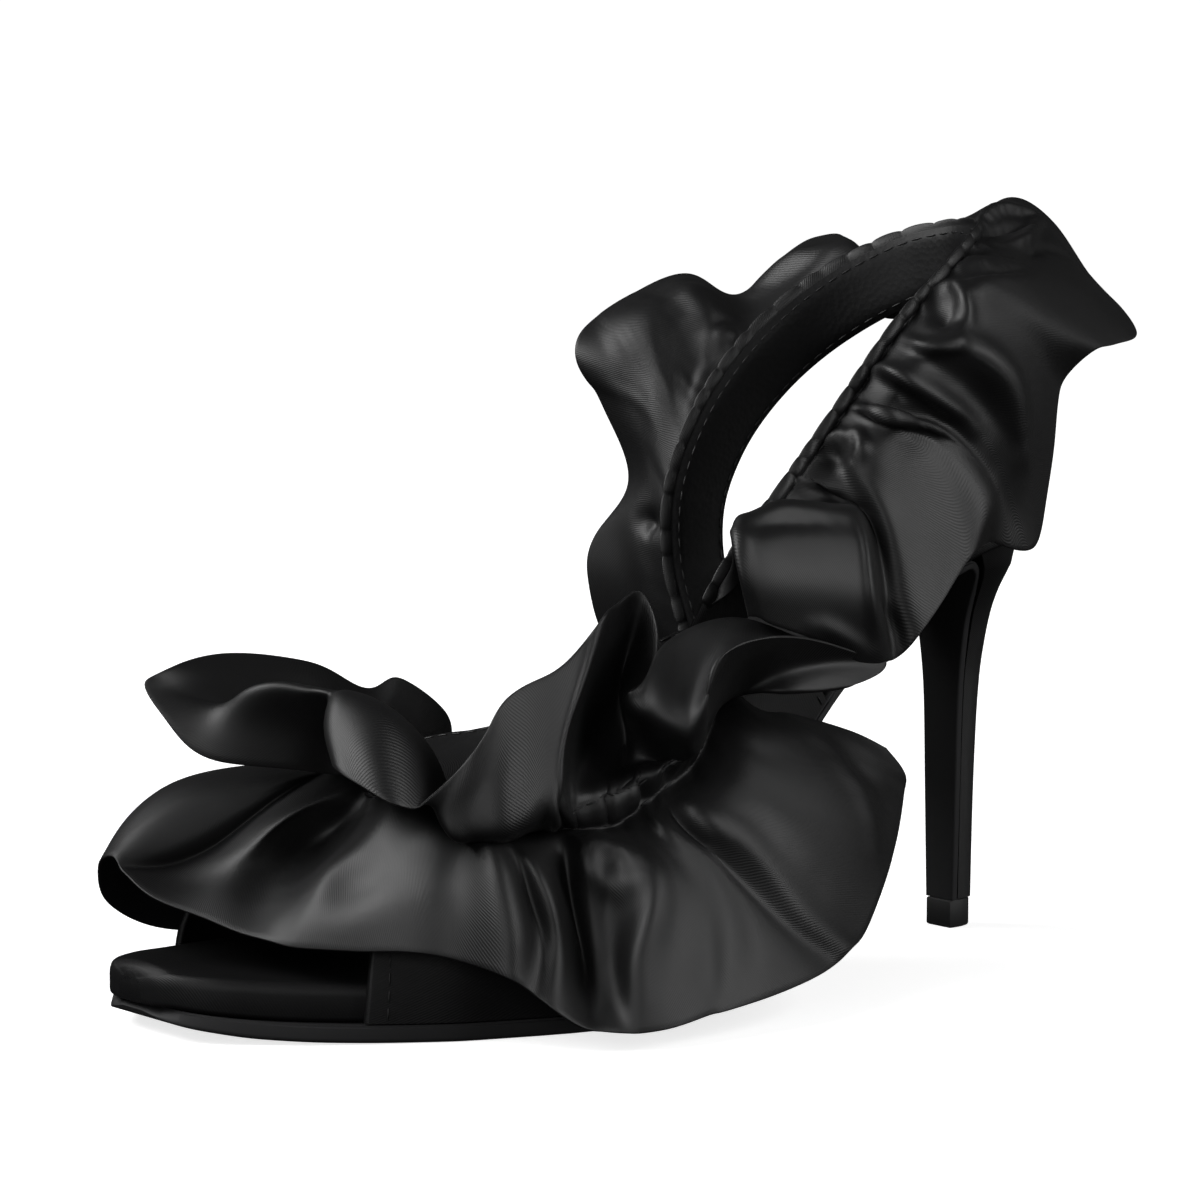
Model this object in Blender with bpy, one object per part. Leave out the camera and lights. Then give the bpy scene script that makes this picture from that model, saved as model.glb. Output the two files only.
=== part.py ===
# Slingback sandal, left shoe, on a slim high heel.
# Toe towards -X, heel towards +X, lateral side -Y, medial side +Y, floor at z = 0.
# The origin is on the floor under the ball of the foot.
# Tables are in millimetres, angles in degrees.
import bmesh
import bpy
import numpy as np

MM = 0.001
GAP = 0.3
UPPER_WALL = 1.6
UPPER_INSET = 0.2
STRAP_WALL = 2.2
STRAP_WIDTH = 12.0
CLOTH = 1.0
SEAM_BELOW_TOP = 3.0
HEADING = 3.5
LAST_FULLNESS = 2.3
HEEL_FOOT = 6.4
INSOLE_ROUND = 2.4
INSOLE_DOME = 1.2
FLAP_FOOT = 6.8
TIP_FRONT = 124.6
TIP_BACK = 132.4
TIP_HALF = 3.8

BLACK_SATIN = (0.012, 0.012, 0.013)
BLACK_LEATHER = (0.02, 0.02, 0.021)
BLACK_RUBBER = (0.008, 0.008, 0.008)

# Underside of the outsole from the toe over the ball and the arch, then down the breast of the heel.
# along, height of the underside, lateral edge, medial edge, thickness
OUTSOLE_ROWS = (
    (-78.0, 2.9, 3.0, 13.0, 3.4),
    (-77.2, 2.7, -1.5, 17.0, 3.4),
    (-75.0, 2.4, -6.0, 20.8, 3.4),
    (-70.5, 1.9, -11.0, 25.0, 3.5),
    (-63.0, 1.2, -16.5, 30.0, 3.5),
    (-53.0, 0.5, -24.0, 35.0, 3.5),
    (-40.0, 0.1, -31.5, 38.5, 3.5),
    (-28.0, 0.0, -37.5, 39.5, 3.5),
    (3.0, 0.0, -45.4, 36.4, 3.5),
    (12.0, 2.6, -44.8, 33.4, 3.4),
    (23.0, 9.8, -41.8, 29.8, 3.1),
    (35.0, 20.0, -37.0, 26.0, 2.7),
    (50.0, 35.0, -31.0, 22.5, 2.3),
    (67.0, 51.0, -26.5, 21.0, 2.0),
    (78.0, 60.2, -24.5, 21.0, 2.0),
    (90.0, 68.5, -23.5, 21.5, 2.0),
    (100.0, 74.0, -22.5, 21.5, 2.0),
    (108.0, 77.8, -21.0, 20.5, 1.9),
    (113.0, 79.5, -19.5, 19.0, 1.8),
    (117.5, 80.1, -17.5, 17.0, 1.8),
    (121.0, 78.3, -15.0, 14.5, 1.8),
    (123.4, 74.0, -11.0, 10.8, 1.8),
    (124.4, 66.0, -7.6, 7.6, 1.8),
    (124.6, 50.0, -5.6, 5.6, 1.8),
    (124.6, 30.0, -5.0, 5.0, 1.8),
    (124.6, FLAP_FOOT, -4.3, 4.3, 1.8),
)

# Underside of the heel seat behind the breast.
# along, height
SEAT_ROWS = (
    (100.0, 74.0),
    (108.0, 77.8),
    (113.0, 79.9),
    (125.0, 83.2),
    (143.0, 87.0),
)

# Insole board in its satin cover.
# along, lateral edge, medial edge, upright thickness
INSOLE_ROWS = (
    (-76.6, 4.0, 12.0, 6.0),
    (-75.9, -0.3, 15.8, 6.6),
    (-73.8, -4.6, 19.4, 7.0),
    (-69.4, -9.4, 23.6, 7.2),
    (-62.0, -15.0, 28.6, 7.4),
    (-53.0, -21.4, 32.2, 7.4),
    (-45.0, -26.2, 34.2, 7.4),
    (-28.0, -34.7, 36.7, 7.4),
    (-2.0, -42.2, 34.7, 7.4),
    (10.0, -42.2, 31.2, 7.2),
    (22.0, -39.2, 27.2, 7.5),
    (35.0, -34.2, 23.2, 7.8),
    (50.0, -28.2, 19.7, 7.8),
    (67.0, -23.7, 17.4, 7.2),
    (78.0, -21.7, 17.4, 6.6),
    (90.0, -21.6, 19.6, 6.0),
    (104.0, -22.5, 21.5, 5.4),
    (120.0, -22.5, 22.5, 5.0),
    (131.0, -19.5, 19.5, 5.0),
    (138.0, -13.5, 13.5, 4.8),
    (141.0, -8.0, 8.0, 4.4),
    (142.0, -4.0, 4.0, 4.0),
)

# Heel block.
# height, front face, back, half width at the front
HEEL_ROWS = (
    (HEEL_FOOT, 126.75, 132.6, 3.9),
    (25.0, 126.75, 132.8, 4.3),
    (45.0, 126.75, 133.4, 4.9),
    (55.0, 126.75, 134.0, 5.5),
    (63.0, 126.7, 134.8, 6.8),
    (69.0, 126.4, 135.6, 8.4),
    (74.0, 125.9, 136.4, 10.8),
    (77.5, 124.7, 137.2, 13.4),
    (80.0, 123.0, 137.8, 15.6),
)
HEEL_TOP = (119.5, 139.4, 18.2)

# Crown of the last, where it carries the vamp.
# along, height of the crown above the floor
CROWN_ROWS = (
    (-56.0, 33.0),
    (-40.0, 40.5),
    (-25.0, 47.0),
    (-5.0, 54.5),
    (10.0, 63.0),
    (25.0, 75.0),
    (40.0, 88.0),
    (60.0, 101.0),
    (80.0, 110.0),
)

# Front edge and rear edge of the vamp, going round the foot from the lateral sole to the medial sole.
# around, front edge, rear edge
VAMP_ROWS = (
    (0.0, -47.0, 70.0),
    (12.0, -46.0, 63.0),
    (24.0, -44.5, 53.0),
    (36.0, -43.0, 45.0),
    (48.0, -42.0, 39.0),
    (60.0, -41.5, 31.0),
    (70.0, -41.0, 20.0),
    (80.0, -41.0, 6.0),
    (90.0, -41.0, -5.0),
    (105.0, -41.5, -8.5),
    (120.0, -43.0, -7.0),
    (135.0, -45.0, -2.0),
    (150.0, -47.0, 6.0),
    (165.0, -49.0, 14.0),
    (180.0, -50.0, 20.0),
)

# Middle line of the sling strap, from the lateral wing of the vamp round the heel to the medial waist.
# along, across, height, facing (0 is straight back), lean of the strap's width
STRAP_ROWS = (
    (20.0, -32.2, 53.0, -68.0, 0.0),
    (29.0, -29.4, 63.0, -68.0, 0.0),
    (37.0, -26.6, 71.5, -72.0, 0.0),
    (47.8, -26.6, 83.5, -86.0, 0.0),
    (60.8, -27.0, 96.0, -92.0, 0.0),
    (75.8, -27.0, 112.0, -90.0, 0.0),
    (91.8, -26.0, 129.0, -80.0, 0.0),
    (107.0, -22.5, 139.0, -62.0, 0.0),
    (120.0, -16.0, 144.5, -42.0, 0.0),
    (129.0, -8.0, 146.5, -20.0, 0.0),
    (132.0, 0.0, 147.0, 0.0, 0.0),
    (129.0, 8.5, 146.0, 22.0, 0.0),
    (120.0, 17.0, 141.5, 45.0, 0.0),
    (108.0, 23.0, 134.0, 65.0, 0.0),
    (93.0, 26.0, 121.5, 82.0, 0.0),
    (82.0, 26.5, 108.0, 88.0, 0.0),
    (76.0, 26.3, 94.0, 90.0, 0.0),
    (75.0, 25.0, 81.0, 92.0, 0.0),
    (76.0, 22.2, 70.5, 90.0, 18.0),
    (76.5, 20.2, 62.4, 90.0, 38.0),
)

# Gathering seam of the vamp ruffle, from the medial sole over the vamp to the foot of the strap.
# along, around
VAMP_SEAM_ROWS = (
    (8.0, 170.0),
    (0.0, 157.0),
    (-10.0, 142.0),
    (-20.0, 122.0),
    (-25.0, 103.0),
    (-26.0, 82.0),
    (-22.0, 60.0),
    (-17.0, 47.0),
    (-7.0, 41.0),
    (2.0, 36.0),
    (13.0, 35.0),
    (24.0, 31.0),
    (31.0, 33.0),
    (36.0, 38.0),
)

# Standing edge of the vamp ruffle, one row for each fold.
# place on the seam, middle of the fold (along, across, height), hem (along, across, height)
FRILL_ROWS = (
    (0.0, 22.0, 44.0, 39.0, 31.0, 52.0, 39.0),
    (10.0, 17.0, 41.0, 44.0, 24.0, 44.0, 48.0),
    (20.0, 9.0, 38.0, 49.0, 11.0, 42.0, 58.0),
    (32.0, -5.0, 32.0, 50.0, -1.0, 40.0, 58.0),
    (42.0, -19.0, 25.0, 56.0, -21.0, 32.0, 67.0),
    (50.0, -40.0, 18.0, 61.0, -44.0, 28.0, 70.0),
    (57.0, -53.0, 12.0, 59.0, -67.0, 18.0, 66.0),
    (64.0, -50.0, 4.0, 53.0, -64.0, 6.0, 53.0),
    (70.0, -50.0, -6.0, 55.0, -60.0, -4.0, 67.0),
    (76.0, -42.0, -12.0, 61.0, -53.0, -14.0, 67.0),
    (82.0, -38.0, -20.0, 60.0, -52.0, -24.0, 58.0),
    (89.0, -34.0, -30.0, 50.0, -43.0, -38.0, 47.0),
    (97.0, -31.0, -42.0, 43.0, -32.0, -44.0, 58.0),
    (105.0, -23.0, -48.0, 48.0, -24.0, -46.0, 68.0),
    (112.0, -11.0, -48.0, 52.0, -5.0, -44.0, 76.0),
    (119.0, -2.0, -44.0, 59.0, 11.0, -38.0, 85.0),
    (126.0, 1.0, -44.0, 55.0, 0.0, -46.0, 66.0),
    (133.0, 9.0, -46.0, 57.0, 17.0, -46.0, 76.0),
    (142.0, 20.0, -46.0, 65.0, 28.0, -51.0, 79.0),
    (152.0, 36.0, -44.0, 67.0, 43.0, -54.0, 74.0),
    (161.0, 46.0, -43.0, 63.0, 64.0, -48.0, 68.0),
    (169.0, 44.0, -38.0, 62.0, 57.0, -40.0, 61.0),
)

# Hanging edge of the vamp ruffle, one row for each fold, columns as above.
SKIRT_ROWS = (
    (0.0, 21.0, 42.0, 20.0, 23.0, 48.0, 11.0),
    (14.0, -2.0, 46.0, 24.0, -8.0, 52.0, 9.0),
    (26.0, -32.0, 46.0, 30.0, -42.0, 50.0, 11.0),
    (36.0, -51.0, 42.0, 33.0, -59.0, 46.0, 19.0),
    (44.0, -56.0, 34.0, 45.0, -67.0, 36.0, 28.0),
    (51.0, -54.0, 24.0, 47.0, -70.0, 24.0, 33.0),
    (58.0, -53.0, 14.0, 43.0, -73.0, 12.0, 28.0),
    (66.0, -50.0, 2.0, 39.0, -64.0, 0.0, 22.0),
    (76.0, -46.0, -14.0, 38.0, -55.0, -18.0, 18.0),
    (86.0, -41.0, -30.0, 35.0, -48.0, -34.0, 19.0),
    (95.0, -37.0, -38.0, 30.0, -39.0, -44.0, 19.0),
    (103.0, -29.0, -46.0, 29.0, -31.0, -52.0, 15.0),
    (110.0, -20.0, -50.0, 24.0, -25.0, -58.0, 8.0),
    (117.0, -14.0, -54.0, 23.0, -20.0, -62.0, 5.0),
    (124.0, -5.0, -58.0, 22.0, -14.0, -65.0, 4.0),
    (131.0, 4.0, -60.0, 25.0, -2.0, -67.0, 5.0),
    (139.0, 15.0, -61.0, 28.0, 15.0, -67.0, 7.0),
    (147.0, 26.0, -60.0, 33.0, 34.0, -64.0, 9.0),
    (154.0, 39.0, -57.0, 37.0, 52.0, -58.0, 13.0),
    (159.0, 47.0, -52.0, 41.0, 64.0, -50.0, 23.0),
    (163.0, 52.0, -46.0, 46.0, 76.0, -43.0, 37.0),
    (166.0, 54.0, -42.0, 50.0, 79.0, -40.0, 43.0),
    (169.0, 56.0, -38.0, 54.0, 76.0, -37.0, 48.0),
)

# Ruffle of the sling, one row for each fold, columns as above.
SLING_ROWS = (
    (0.0, 35.0, -38.0, 86.0, 36.0, -42.0, 77.0),
    (16.0, 31.0, -42.0, 97.0, 32.0, -46.0, 79.0),
    (34.0, 45.0, -46.0, 98.0, 47.0, -48.0, 76.0),
    (43.0, 64.0, -44.0, 94.0, 67.0, -46.0, 73.0),
    (52.0, 72.0, -35.0, 97.0, 77.0, -38.0, 66.0),
    (61.0, 75.0, -42.0, 99.0, 79.0, -46.0, 74.0),
    (71.0, 86.0, -40.0, 107.0, 98.0, -40.0, 88.0),
    (80.0, 98.0, -38.0, 114.0, 123.0, -32.0, 85.0),
    (90.0, 108.0, -36.0, 122.0, 130.0, -30.0, 99.0),
    (99.0, 114.0, -32.0, 132.0, 130.0, -30.0, 119.0),
    (108.0, 126.0, -26.0, 137.0, 143.0, -26.0, 127.0),
    (116.0, 137.0, -20.0, 144.0, 164.0, -18.0, 130.0),
    (123.0, 142.0, -12.0, 150.0, 159.0, -10.0, 139.0),
    (128.0, 138.0, -6.0, 155.0, 153.0, -4.0, 152.0),
    (136.0, 140.0, 4.0, 156.0, 150.0, 10.0, 158.0),
    (146.0, 140.0, 18.0, 150.0, 150.0, 27.0, 149.0),
    (158.0, 131.0, 28.0, 147.0, 133.0, 38.0, 149.0),
    (172.0, 118.0, 36.0, 140.0, 125.0, 48.0, 147.0),
    (181.0, 105.0, 40.0, 133.0, 114.0, 54.0, 136.0),
    (194.0, 94.0, 44.0, 136.0, 100.0, 58.0, 141.0),
    (206.0, 79.0, 44.0, 130.0, 82.0, 60.0, 134.0),
    (218.0, 75.0, 42.0, 121.0, 68.0, 56.0, 125.0),
    (228.0, 75.0, 40.0, 111.0, 72.0, 52.0, 114.0),
    (236.0, 76.0, 40.0, 100.0, 78.0, 50.0, 96.0),
    (243.0, 74.0, 44.0, 87.0, 74.0, 58.0, 83.0),
    (250.0, 75.0, 44.0, 76.0, 75.0, 60.0, 73.0),
    (257.0, 78.0, 42.0, 66.0, 78.0, 58.0, 61.0),
    (264.0, 83.0, 38.0, 60.0, 87.0, 50.0, 54.0),
)


def smooth(knots, values, at, level):
    """Cubic curve through the rows; a level curve never overshoots a row."""
    knots = np.asarray(knots, float)
    values = np.asarray(values, float)
    at = np.clip(np.asarray(at, float), knots[0], knots[-1])
    step = np.diff(knots)
    rise = np.diff(values) / step
    slope = np.empty_like(values)
    slope[0] = rise[0]
    slope[-1] = rise[-1]
    for i in range(1, len(values) - 1):
        before, after = rise[i - 1], rise[i]
        if not level:
            slope[i] = (step[i] * before + step[i - 1] * after) / (step[i] + step[i - 1])
        elif before * after <= 0.0:
            slope[i] = 0.0
        else:
            slope[i] = 2.0 * before * after / (before + after)
    cell = np.clip(np.searchsorted(knots, at, side="right") - 1, 0, len(step) - 1)
    t = (at - knots[cell]) / step[cell]
    h = step[cell]
    low = (1.0 + 2.0 * t) * (1.0 - t) ** 2 * values[cell] + t * (1.0 - t) ** 2 * h * slope[cell]
    high = t * t * (3.0 - 2.0 * t) * values[cell + 1] + t * t * (t - 1.0) * h * slope[cell + 1]
    return low + high


def columns(rows):
    return np.asarray(rows, float).T


def unit(vectors):
    return vectors / np.maximum(np.linalg.norm(vectors, axis=-1, keepdims=True), 1e-9)


def run_along(points):
    steps = np.linalg.norm(np.diff(points, axis=0), axis=1)
    return np.concatenate(([0.0], np.cumsum(steps)))


def add_material(name, colour, roughness):
    material = bpy.data.materials.new(name)
    material.use_nodes = True
    shader = material.node_tree.nodes["Principled BSDF"]
    shader.inputs["Base Color"].default_value = (*colour, 1.0)
    shader.inputs["Roughness"].default_value = roughness
    material.diffuse_color = (*colour, 1.0)
    return material


def add_object(name, points, faces, material):
    mesh = bpy.data.meshes.new(name)
    mesh.from_pydata([tuple(point) for point in np.asarray(points) * MM], [], faces)
    work = bmesh.new()
    work.from_mesh(mesh)
    bmesh.ops.recalc_face_normals(work, faces=work.faces)
    bmesh.ops.triangulate(work, faces=work.faces)
    work.to_mesh(mesh)
    work.free()
    mesh.materials.append(material)
    piece = bpy.data.objects.new(name, mesh)
    bpy.context.scene.collection.objects.link(piece)
    return piece


def loft(name, rings, material):
    """Closed body through a row of rings, capped at both ends."""
    count, around = len(rings), len(rings[0])
    faces = []
    for i in range(count - 1):
        for j in range(around):
            k = (j + 1) % around
            faces.append((i * around + j, i * around + k, (i + 1) * around + k, (i + 1) * around + j))
    faces.append(tuple(range(around)))
    faces.append(tuple((count - 1) * around + j for j in range(around)))
    return add_object(name, np.concatenate(rings), faces, material)


def slab(name, face, back, material):
    """Closed body between two grids of points that lie one wall apart."""
    rows, across = face.shape[:2]
    half = rows * across
    faces = []
    for i in range(rows - 1):
        for j in range(across - 1):
            a = i * across + j
            b = a + across
            faces.append((a, a + 1, b + 1, b))
            faces.append((half + a, half + b, half + b + 1, half + a + 1))
    rim = [j for j in range(across)]
    rim += [i * across + across - 1 for i in range(1, rows)]
    rim += [(rows - 1) * across + j for j in range(across - 2, -1, -1)]
    rim += [i * across for i in range(rows - 2, 0, -1)]
    for a, b in zip(rim, rim[1:] + rim[:1]):
        faces.append((a, half + a, half + b, b))
    points = np.concatenate((face.reshape(-1, 3), back.reshape(-1, 3)))
    return add_object(name, points, faces, material)


def grid_normals(grid):
    return unit(np.cross(np.gradient(grid, axis=0), np.gradient(grid, axis=1)))


def outsole_path():
    """Underside, inward direction, edges and thickness along the outsole."""
    along, height, lateral, medial, thick = columns(OUTSOLE_ROWS)
    run = run_along(np.stack((along, height), axis=1))
    at = []
    for a, b in zip(run, run[1:]):
        at += list(np.linspace(a, b, 3)[:-1])
    at = np.asarray(at + [run[-1]])
    line = np.stack([smooth(run, v, at, True) for v in (along, height)], axis=1)
    tangent = unit(np.gradient(line, axis=0))
    flat = line[:, 1] < 1e-6
    tangent[flat] = (1.0, 0.0)
    inward = np.stack((-tangent[:, 1], tangent[:, 0]), axis=1)
    edges = [smooth(run, v, at, True) for v in (lateral, medial, thick)]
    return line, inward, edges


def outsole_top(x):
    """Height of the outsole's upper face, and of the heel's top behind it."""
    line, inward, (lateral, medial, thick) = outsole_path()
    upper = line + inward * thick[:, None]
    front = upper[upper[:, 0].argsort()]
    front = front[front[:, 0] < 100.0]
    along, height = columns(SEAT_ROWS)
    rear_x = np.linspace(100.5, 143.0, 30)
    rear_z = smooth(along, height, rear_x, False) + 2.25
    return np.interp(x, np.concatenate((front[:, 0], rear_x)), np.concatenate((front[:, 1], rear_z)))


def build_outsole(material):
    line, inward, (lateral, medial, thick) = outsole_path()
    rings = []
    for (x, z), (nx, nz), near, far, deep in zip(line, inward, lateral, medial, thick):
        side = 0.25 * deep
        corners = (
            (near + side, 0.0),
            (far - side, 0.0),
            (far, side),
            (far, deep - 0.3),
            (far - 0.3, deep),
            (near + 0.3, deep),
            (near, deep - 0.3),
            (near, side),
        )
        rings.append(np.array([(x + nx * up, y, z + nz * up) for y, up in corners]))
    return loft("outsole", rings, material)


def build_insole(material):
    along, lateral, medial, thick = columns(INSOLE_ROWS)
    run = run_along(np.stack((along, lateral), axis=1))
    at = []
    for a, b in zip(run, run[1:]):
        at += list(np.linspace(a, b, 3)[:-1])
    at = np.asarray(at + [run[-1]])
    x, near, far, deep = (smooth(run, v, at, True) for v in (along, lateral, medial, thick))
    floor = outsole_top(x) + GAP
    rings = []
    for xi, a, b, t, z in zip(x, near, far, deep, floor):
        r = min(INSOLE_ROUND, 0.45 * t, 0.3 * (b - a))
        soft = ((0.0, r), (0.12 * r, 0.5 * r), (0.45 * r, 0.14 * r), (r, 0.0))
        ring = [(a + 0.3, 0.0), (b - 0.3, 0.0), (b, 0.3)]
        ring += [(b - inset, t - down) for inset, down in soft]
        ring += [(b + (a - b) * s, t + INSOLE_DOME * 4.0 * s * (1.0 - s)) for s in (0.25, 0.5, 0.75)]
        ring += [(a + inset, t - down) for inset, down in reversed(soft)]
        ring.append((a, 0.3))
        rings.append(np.array([(xi, y, z + up) for y, up in ring]))
    return loft("insole", rings, material)


def heel_ring(height, front, back, half):
    turn = np.radians(np.linspace(-90.0, 90.0, 17))
    x = front + (back - front) * np.abs(np.cos(turn)) ** 0.72
    y = half * np.sign(np.sin(turn)) * np.abs(np.sin(turn)) ** 0.9
    return np.stack((x, y, np.full(17, height)), axis=1)


def build_heel(material):
    height, front, back, half = columns(HEEL_ROWS)
    at = np.concatenate((np.linspace(height[0], 55.0, 6), np.linspace(58.0, height[-1], 10)))
    rings = [
        heel_ring(z, *(float(smooth(height, v, z, True)) for v in (front, back, half)))
        for z in at
    ]
    top = heel_ring(0.0, *HEEL_TOP)
    top[:, 2] = outsole_top(top[:, 0])
    rings.append(top)
    return loft("heel", rings, material)


def build_heel_tip(material):
    rings = []
    for height, inset in ((0.0, 0.4), (0.4, 0.0), (HEEL_FOOT - GAP, 0.0)):
        ring = heel_ring(height, TIP_FRONT + inset, TIP_BACK - inset, TIP_HALF - inset)
        rings.append(ring)
    return loft("heel_tip", rings, material)


def last_point(along, around):
    """Point on the outside of the upper at a station and an angle round the foot."""
    rows = columns(OUTSOLE_ROWS[:19])
    lateral = smooth(rows[0], rows[2], along, True) + UPPER_INSET
    medial = smooth(rows[0], rows[3], along, True) - UPPER_INSET
    base = outsole_top(along) + GAP
    crown = smooth(*columns(CROWN_ROWS), along, True)
    turn = np.radians(around)
    power = 2.0 / LAST_FULLNESS
    middle, half = 0.5 * (lateral + medial), 0.5 * (medial - lateral)
    across = middle - half * np.sign(np.cos(turn)) * np.abs(np.cos(turn)) ** power
    height = base + (crown - base) * np.maximum(np.sin(turn), 0.0) ** power
    return np.stack((along, across, height), axis=-1)


def vamp_grid(around, share):
    angle, front, rear = columns(VAMP_ROWS)
    start = smooth(angle, front, around, True)
    stop = smooth(angle, rear, around, True)
    along = start[:, None] + (stop - start)[:, None] * share[None, :]
    turns = np.repeat(around[:, None], len(share), axis=1)
    return last_point(along.ravel(), turns.ravel()).reshape(len(around), len(share), 3)


def build_vamp(material):
    fine = 1.0 - np.cos(np.radians(np.linspace(0.0, 90.0, 16)))
    around = np.concatenate((90.0 * fine, 180.0 - 90.0 * fine[-2::-1]))
    grid = vamp_grid(around, np.linspace(0.0, 1.0, 13))
    out = grid_normals(grid)
    if out[len(around) // 2, 6, 2] < 0.0:
        out = -out
    for edge in (0, -1):
        out[edge, :, 2] = 0.0
    inner = grid - unit(out) * UPPER_WALL
    return slab("upper", grid, inner, material)


def strap_frame(count):
    """Middle line, facing and width direction of the sling strap."""
    x, y, z, facing, lean = columns(STRAP_ROWS)
    run = run_along(np.stack((x, y, z), axis=1))
    at = np.linspace(0.0, run[-1], count)
    middle = np.stack([smooth(run, v, at, False) for v in (x, y, z)], axis=1)
    turn = np.radians(smooth(run, facing, at, False))
    tilt = np.radians(smooth(run, lean, at, True))
    tangent = unit(np.gradient(middle, axis=0))
    face = np.stack((np.cos(turn), np.sin(turn), np.zeros(count)), axis=1)
    upward = unit(np.cross(face, tangent))
    upward = unit(upward * np.cos(tilt)[:, None] + tangent * np.sin(tilt)[:, None])
    outward = unit(np.cross(upward, tangent))
    outward = outward * np.sign(np.sum(outward * face, axis=1, keepdims=True))
    return at, middle, outward, upward


def build_strap(material):
    at, middle, outward, upward = strap_frame(52)
    across = np.linspace(-0.5, 0.5, 3) * STRAP_WIDTH
    grid = middle[:, None, :] + upward[:, None, :] * across[None, :, None]
    half = outward[:, None, :] * (0.5 * STRAP_WALL)
    return slab("strap", grid + half, grid - half, material)


def join_strap(upper, strap):
    """Sew the strap to the vamp: one body where they cross."""
    union = upper.modifiers.new("join", "BOOLEAN")
    union.operation = "UNION"
    union.solver = "EXACT"
    union.object = strap
    view = bpy.context.evaluated_depsgraph_get()
    joined = bpy.data.meshes.new_from_object(upper.evaluated_get(view))
    upper.modifiers.clear()
    upper.data = joined
    bpy.data.objects.remove(strap, do_unlink=True)
    work = bmesh.new()
    work.from_mesh(joined)
    bmesh.ops.remove_doubles(work, verts=work.verts, dist=0.00005)
    bmesh.ops.triangulate(work, faces=work.faces)
    work.to_mesh(joined)
    work.free()


def vamp_seam(at):
    """Gathering seam on the outside of the vamp, by distance from its medial end."""
    along, around = columns(VAMP_SEAM_ROWS)
    rows = np.linspace(0.0, 1.0, len(along))
    fine = np.linspace(0.0, 1.0, 400)
    x = smooth(rows, along, fine, False)
    turn = smooth(rows, around, fine, False)
    line = last_point(x, turn)
    run = run_along(line)
    place = np.asarray(at) / FRILL_ROWS[-1][0] * run[-1]
    return np.stack([np.interp(place, run, line[:, k]) for k in range(3)], axis=1)


def sling_seam(at):
    """Gathering seam along the sling strap, by distance from its lateral end, and the strap's upward."""
    run, middle, outward, upward = strap_frame(400)
    line = middle + upward * (0.5 * STRAP_WIDTH - SEAM_BELOW_TOP)
    line = line + outward * (0.5 * STRAP_WALL + GAP + 0.5 * CLOTH)
    start = 0.11
    share = start + (1.0 - start) * np.asarray(at) / SLING_ROWS[-1][0]
    place = share * run[-1]
    seam = np.stack([np.interp(place, run, line[:, k]) for k in range(3)], axis=1)
    rise = np.stack([np.interp(place, run, upward[:, k]) for k in range(3)], axis=1)
    return seam, unit(rise)


def fold_grid(rows, seam, at, across):
    """Cloth from the seam over the middle of each fold to the hem."""
    table = columns(rows)
    middle = np.stack([smooth(table[0], table[k], at, False) for k in (1, 2, 3)], axis=1)
    hem = np.stack([smooth(table[0], table[k], at, False) for k in (4, 5, 6)], axis=1)
    t = across[None, :, None]
    near = seam[:, None, :] * (2.0 * t - 1.0) * (t - 1.0)
    return near + middle[:, None, :] * 4.0 * t * (1.0 - t) + hem[:, None, :] * t * (2.0 * t - 1.0)


def cloth(name, grid, material):
    out = grid_normals(grid) * (0.5 * CLOTH)
    return slab(name, grid + out, grid - out, material)


def build_vamp_ruffle(material):
    at = np.linspace(0.0, FRILL_ROWS[-1][0], 82)
    seam = vamp_seam(at)
    centre = np.array((-5.0, -3.0, 10.0))
    seam = seam + unit(seam - centre) * (GAP + CLOTH)
    across = np.linspace(0.0, 1.0, 6)
    frill = fold_grid(FRILL_ROWS, seam, at, across)
    skirt = fold_grid(SKIRT_ROWS, seam, at, across)
    return cloth("vamp_ruffle", np.concatenate((frill[:, :0:-1], skirt), axis=1), material)


def build_sling_ruffle(material):
    at = np.linspace(0.0, SLING_ROWS[-1][0], 92)
    seam, rise = sling_seam(at)
    ruffle = fold_grid(SLING_ROWS, seam, at, np.linspace(0.0, 1.0, 7))
    heading = seam + rise * HEADING
    return cloth("sling_ruffle", np.concatenate((heading[:, None], ruffle), axis=1), material)


for old in list(bpy.data.objects):
    bpy.data.objects.remove(old, do_unlink=True)

satin = add_material("black_satin", BLACK_SATIN, 0.38)
leather = add_material("black_sole_leather", BLACK_LEATHER, 0.5)
rubber = add_material("black_tip_rubber", BLACK_RUBBER, 0.6)

build_outsole(leather)
build_insole(satin)
build_heel(satin)
build_heel_tip(rubber)
join_strap(build_vamp(satin), build_strap(satin))
build_vamp_ruffle(satin)
build_sling_ruffle(satin)
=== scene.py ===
# Looks of the slingback sandal: satin ruffles, satin upper, insole and heel, leather sole, stitches.
# The shoe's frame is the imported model's: toe towards -X, lateral side -Y, floor at z = 0.
# Sizes and tables are in millimetres and angles in degrees; the studio is in metres.
import math

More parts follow.
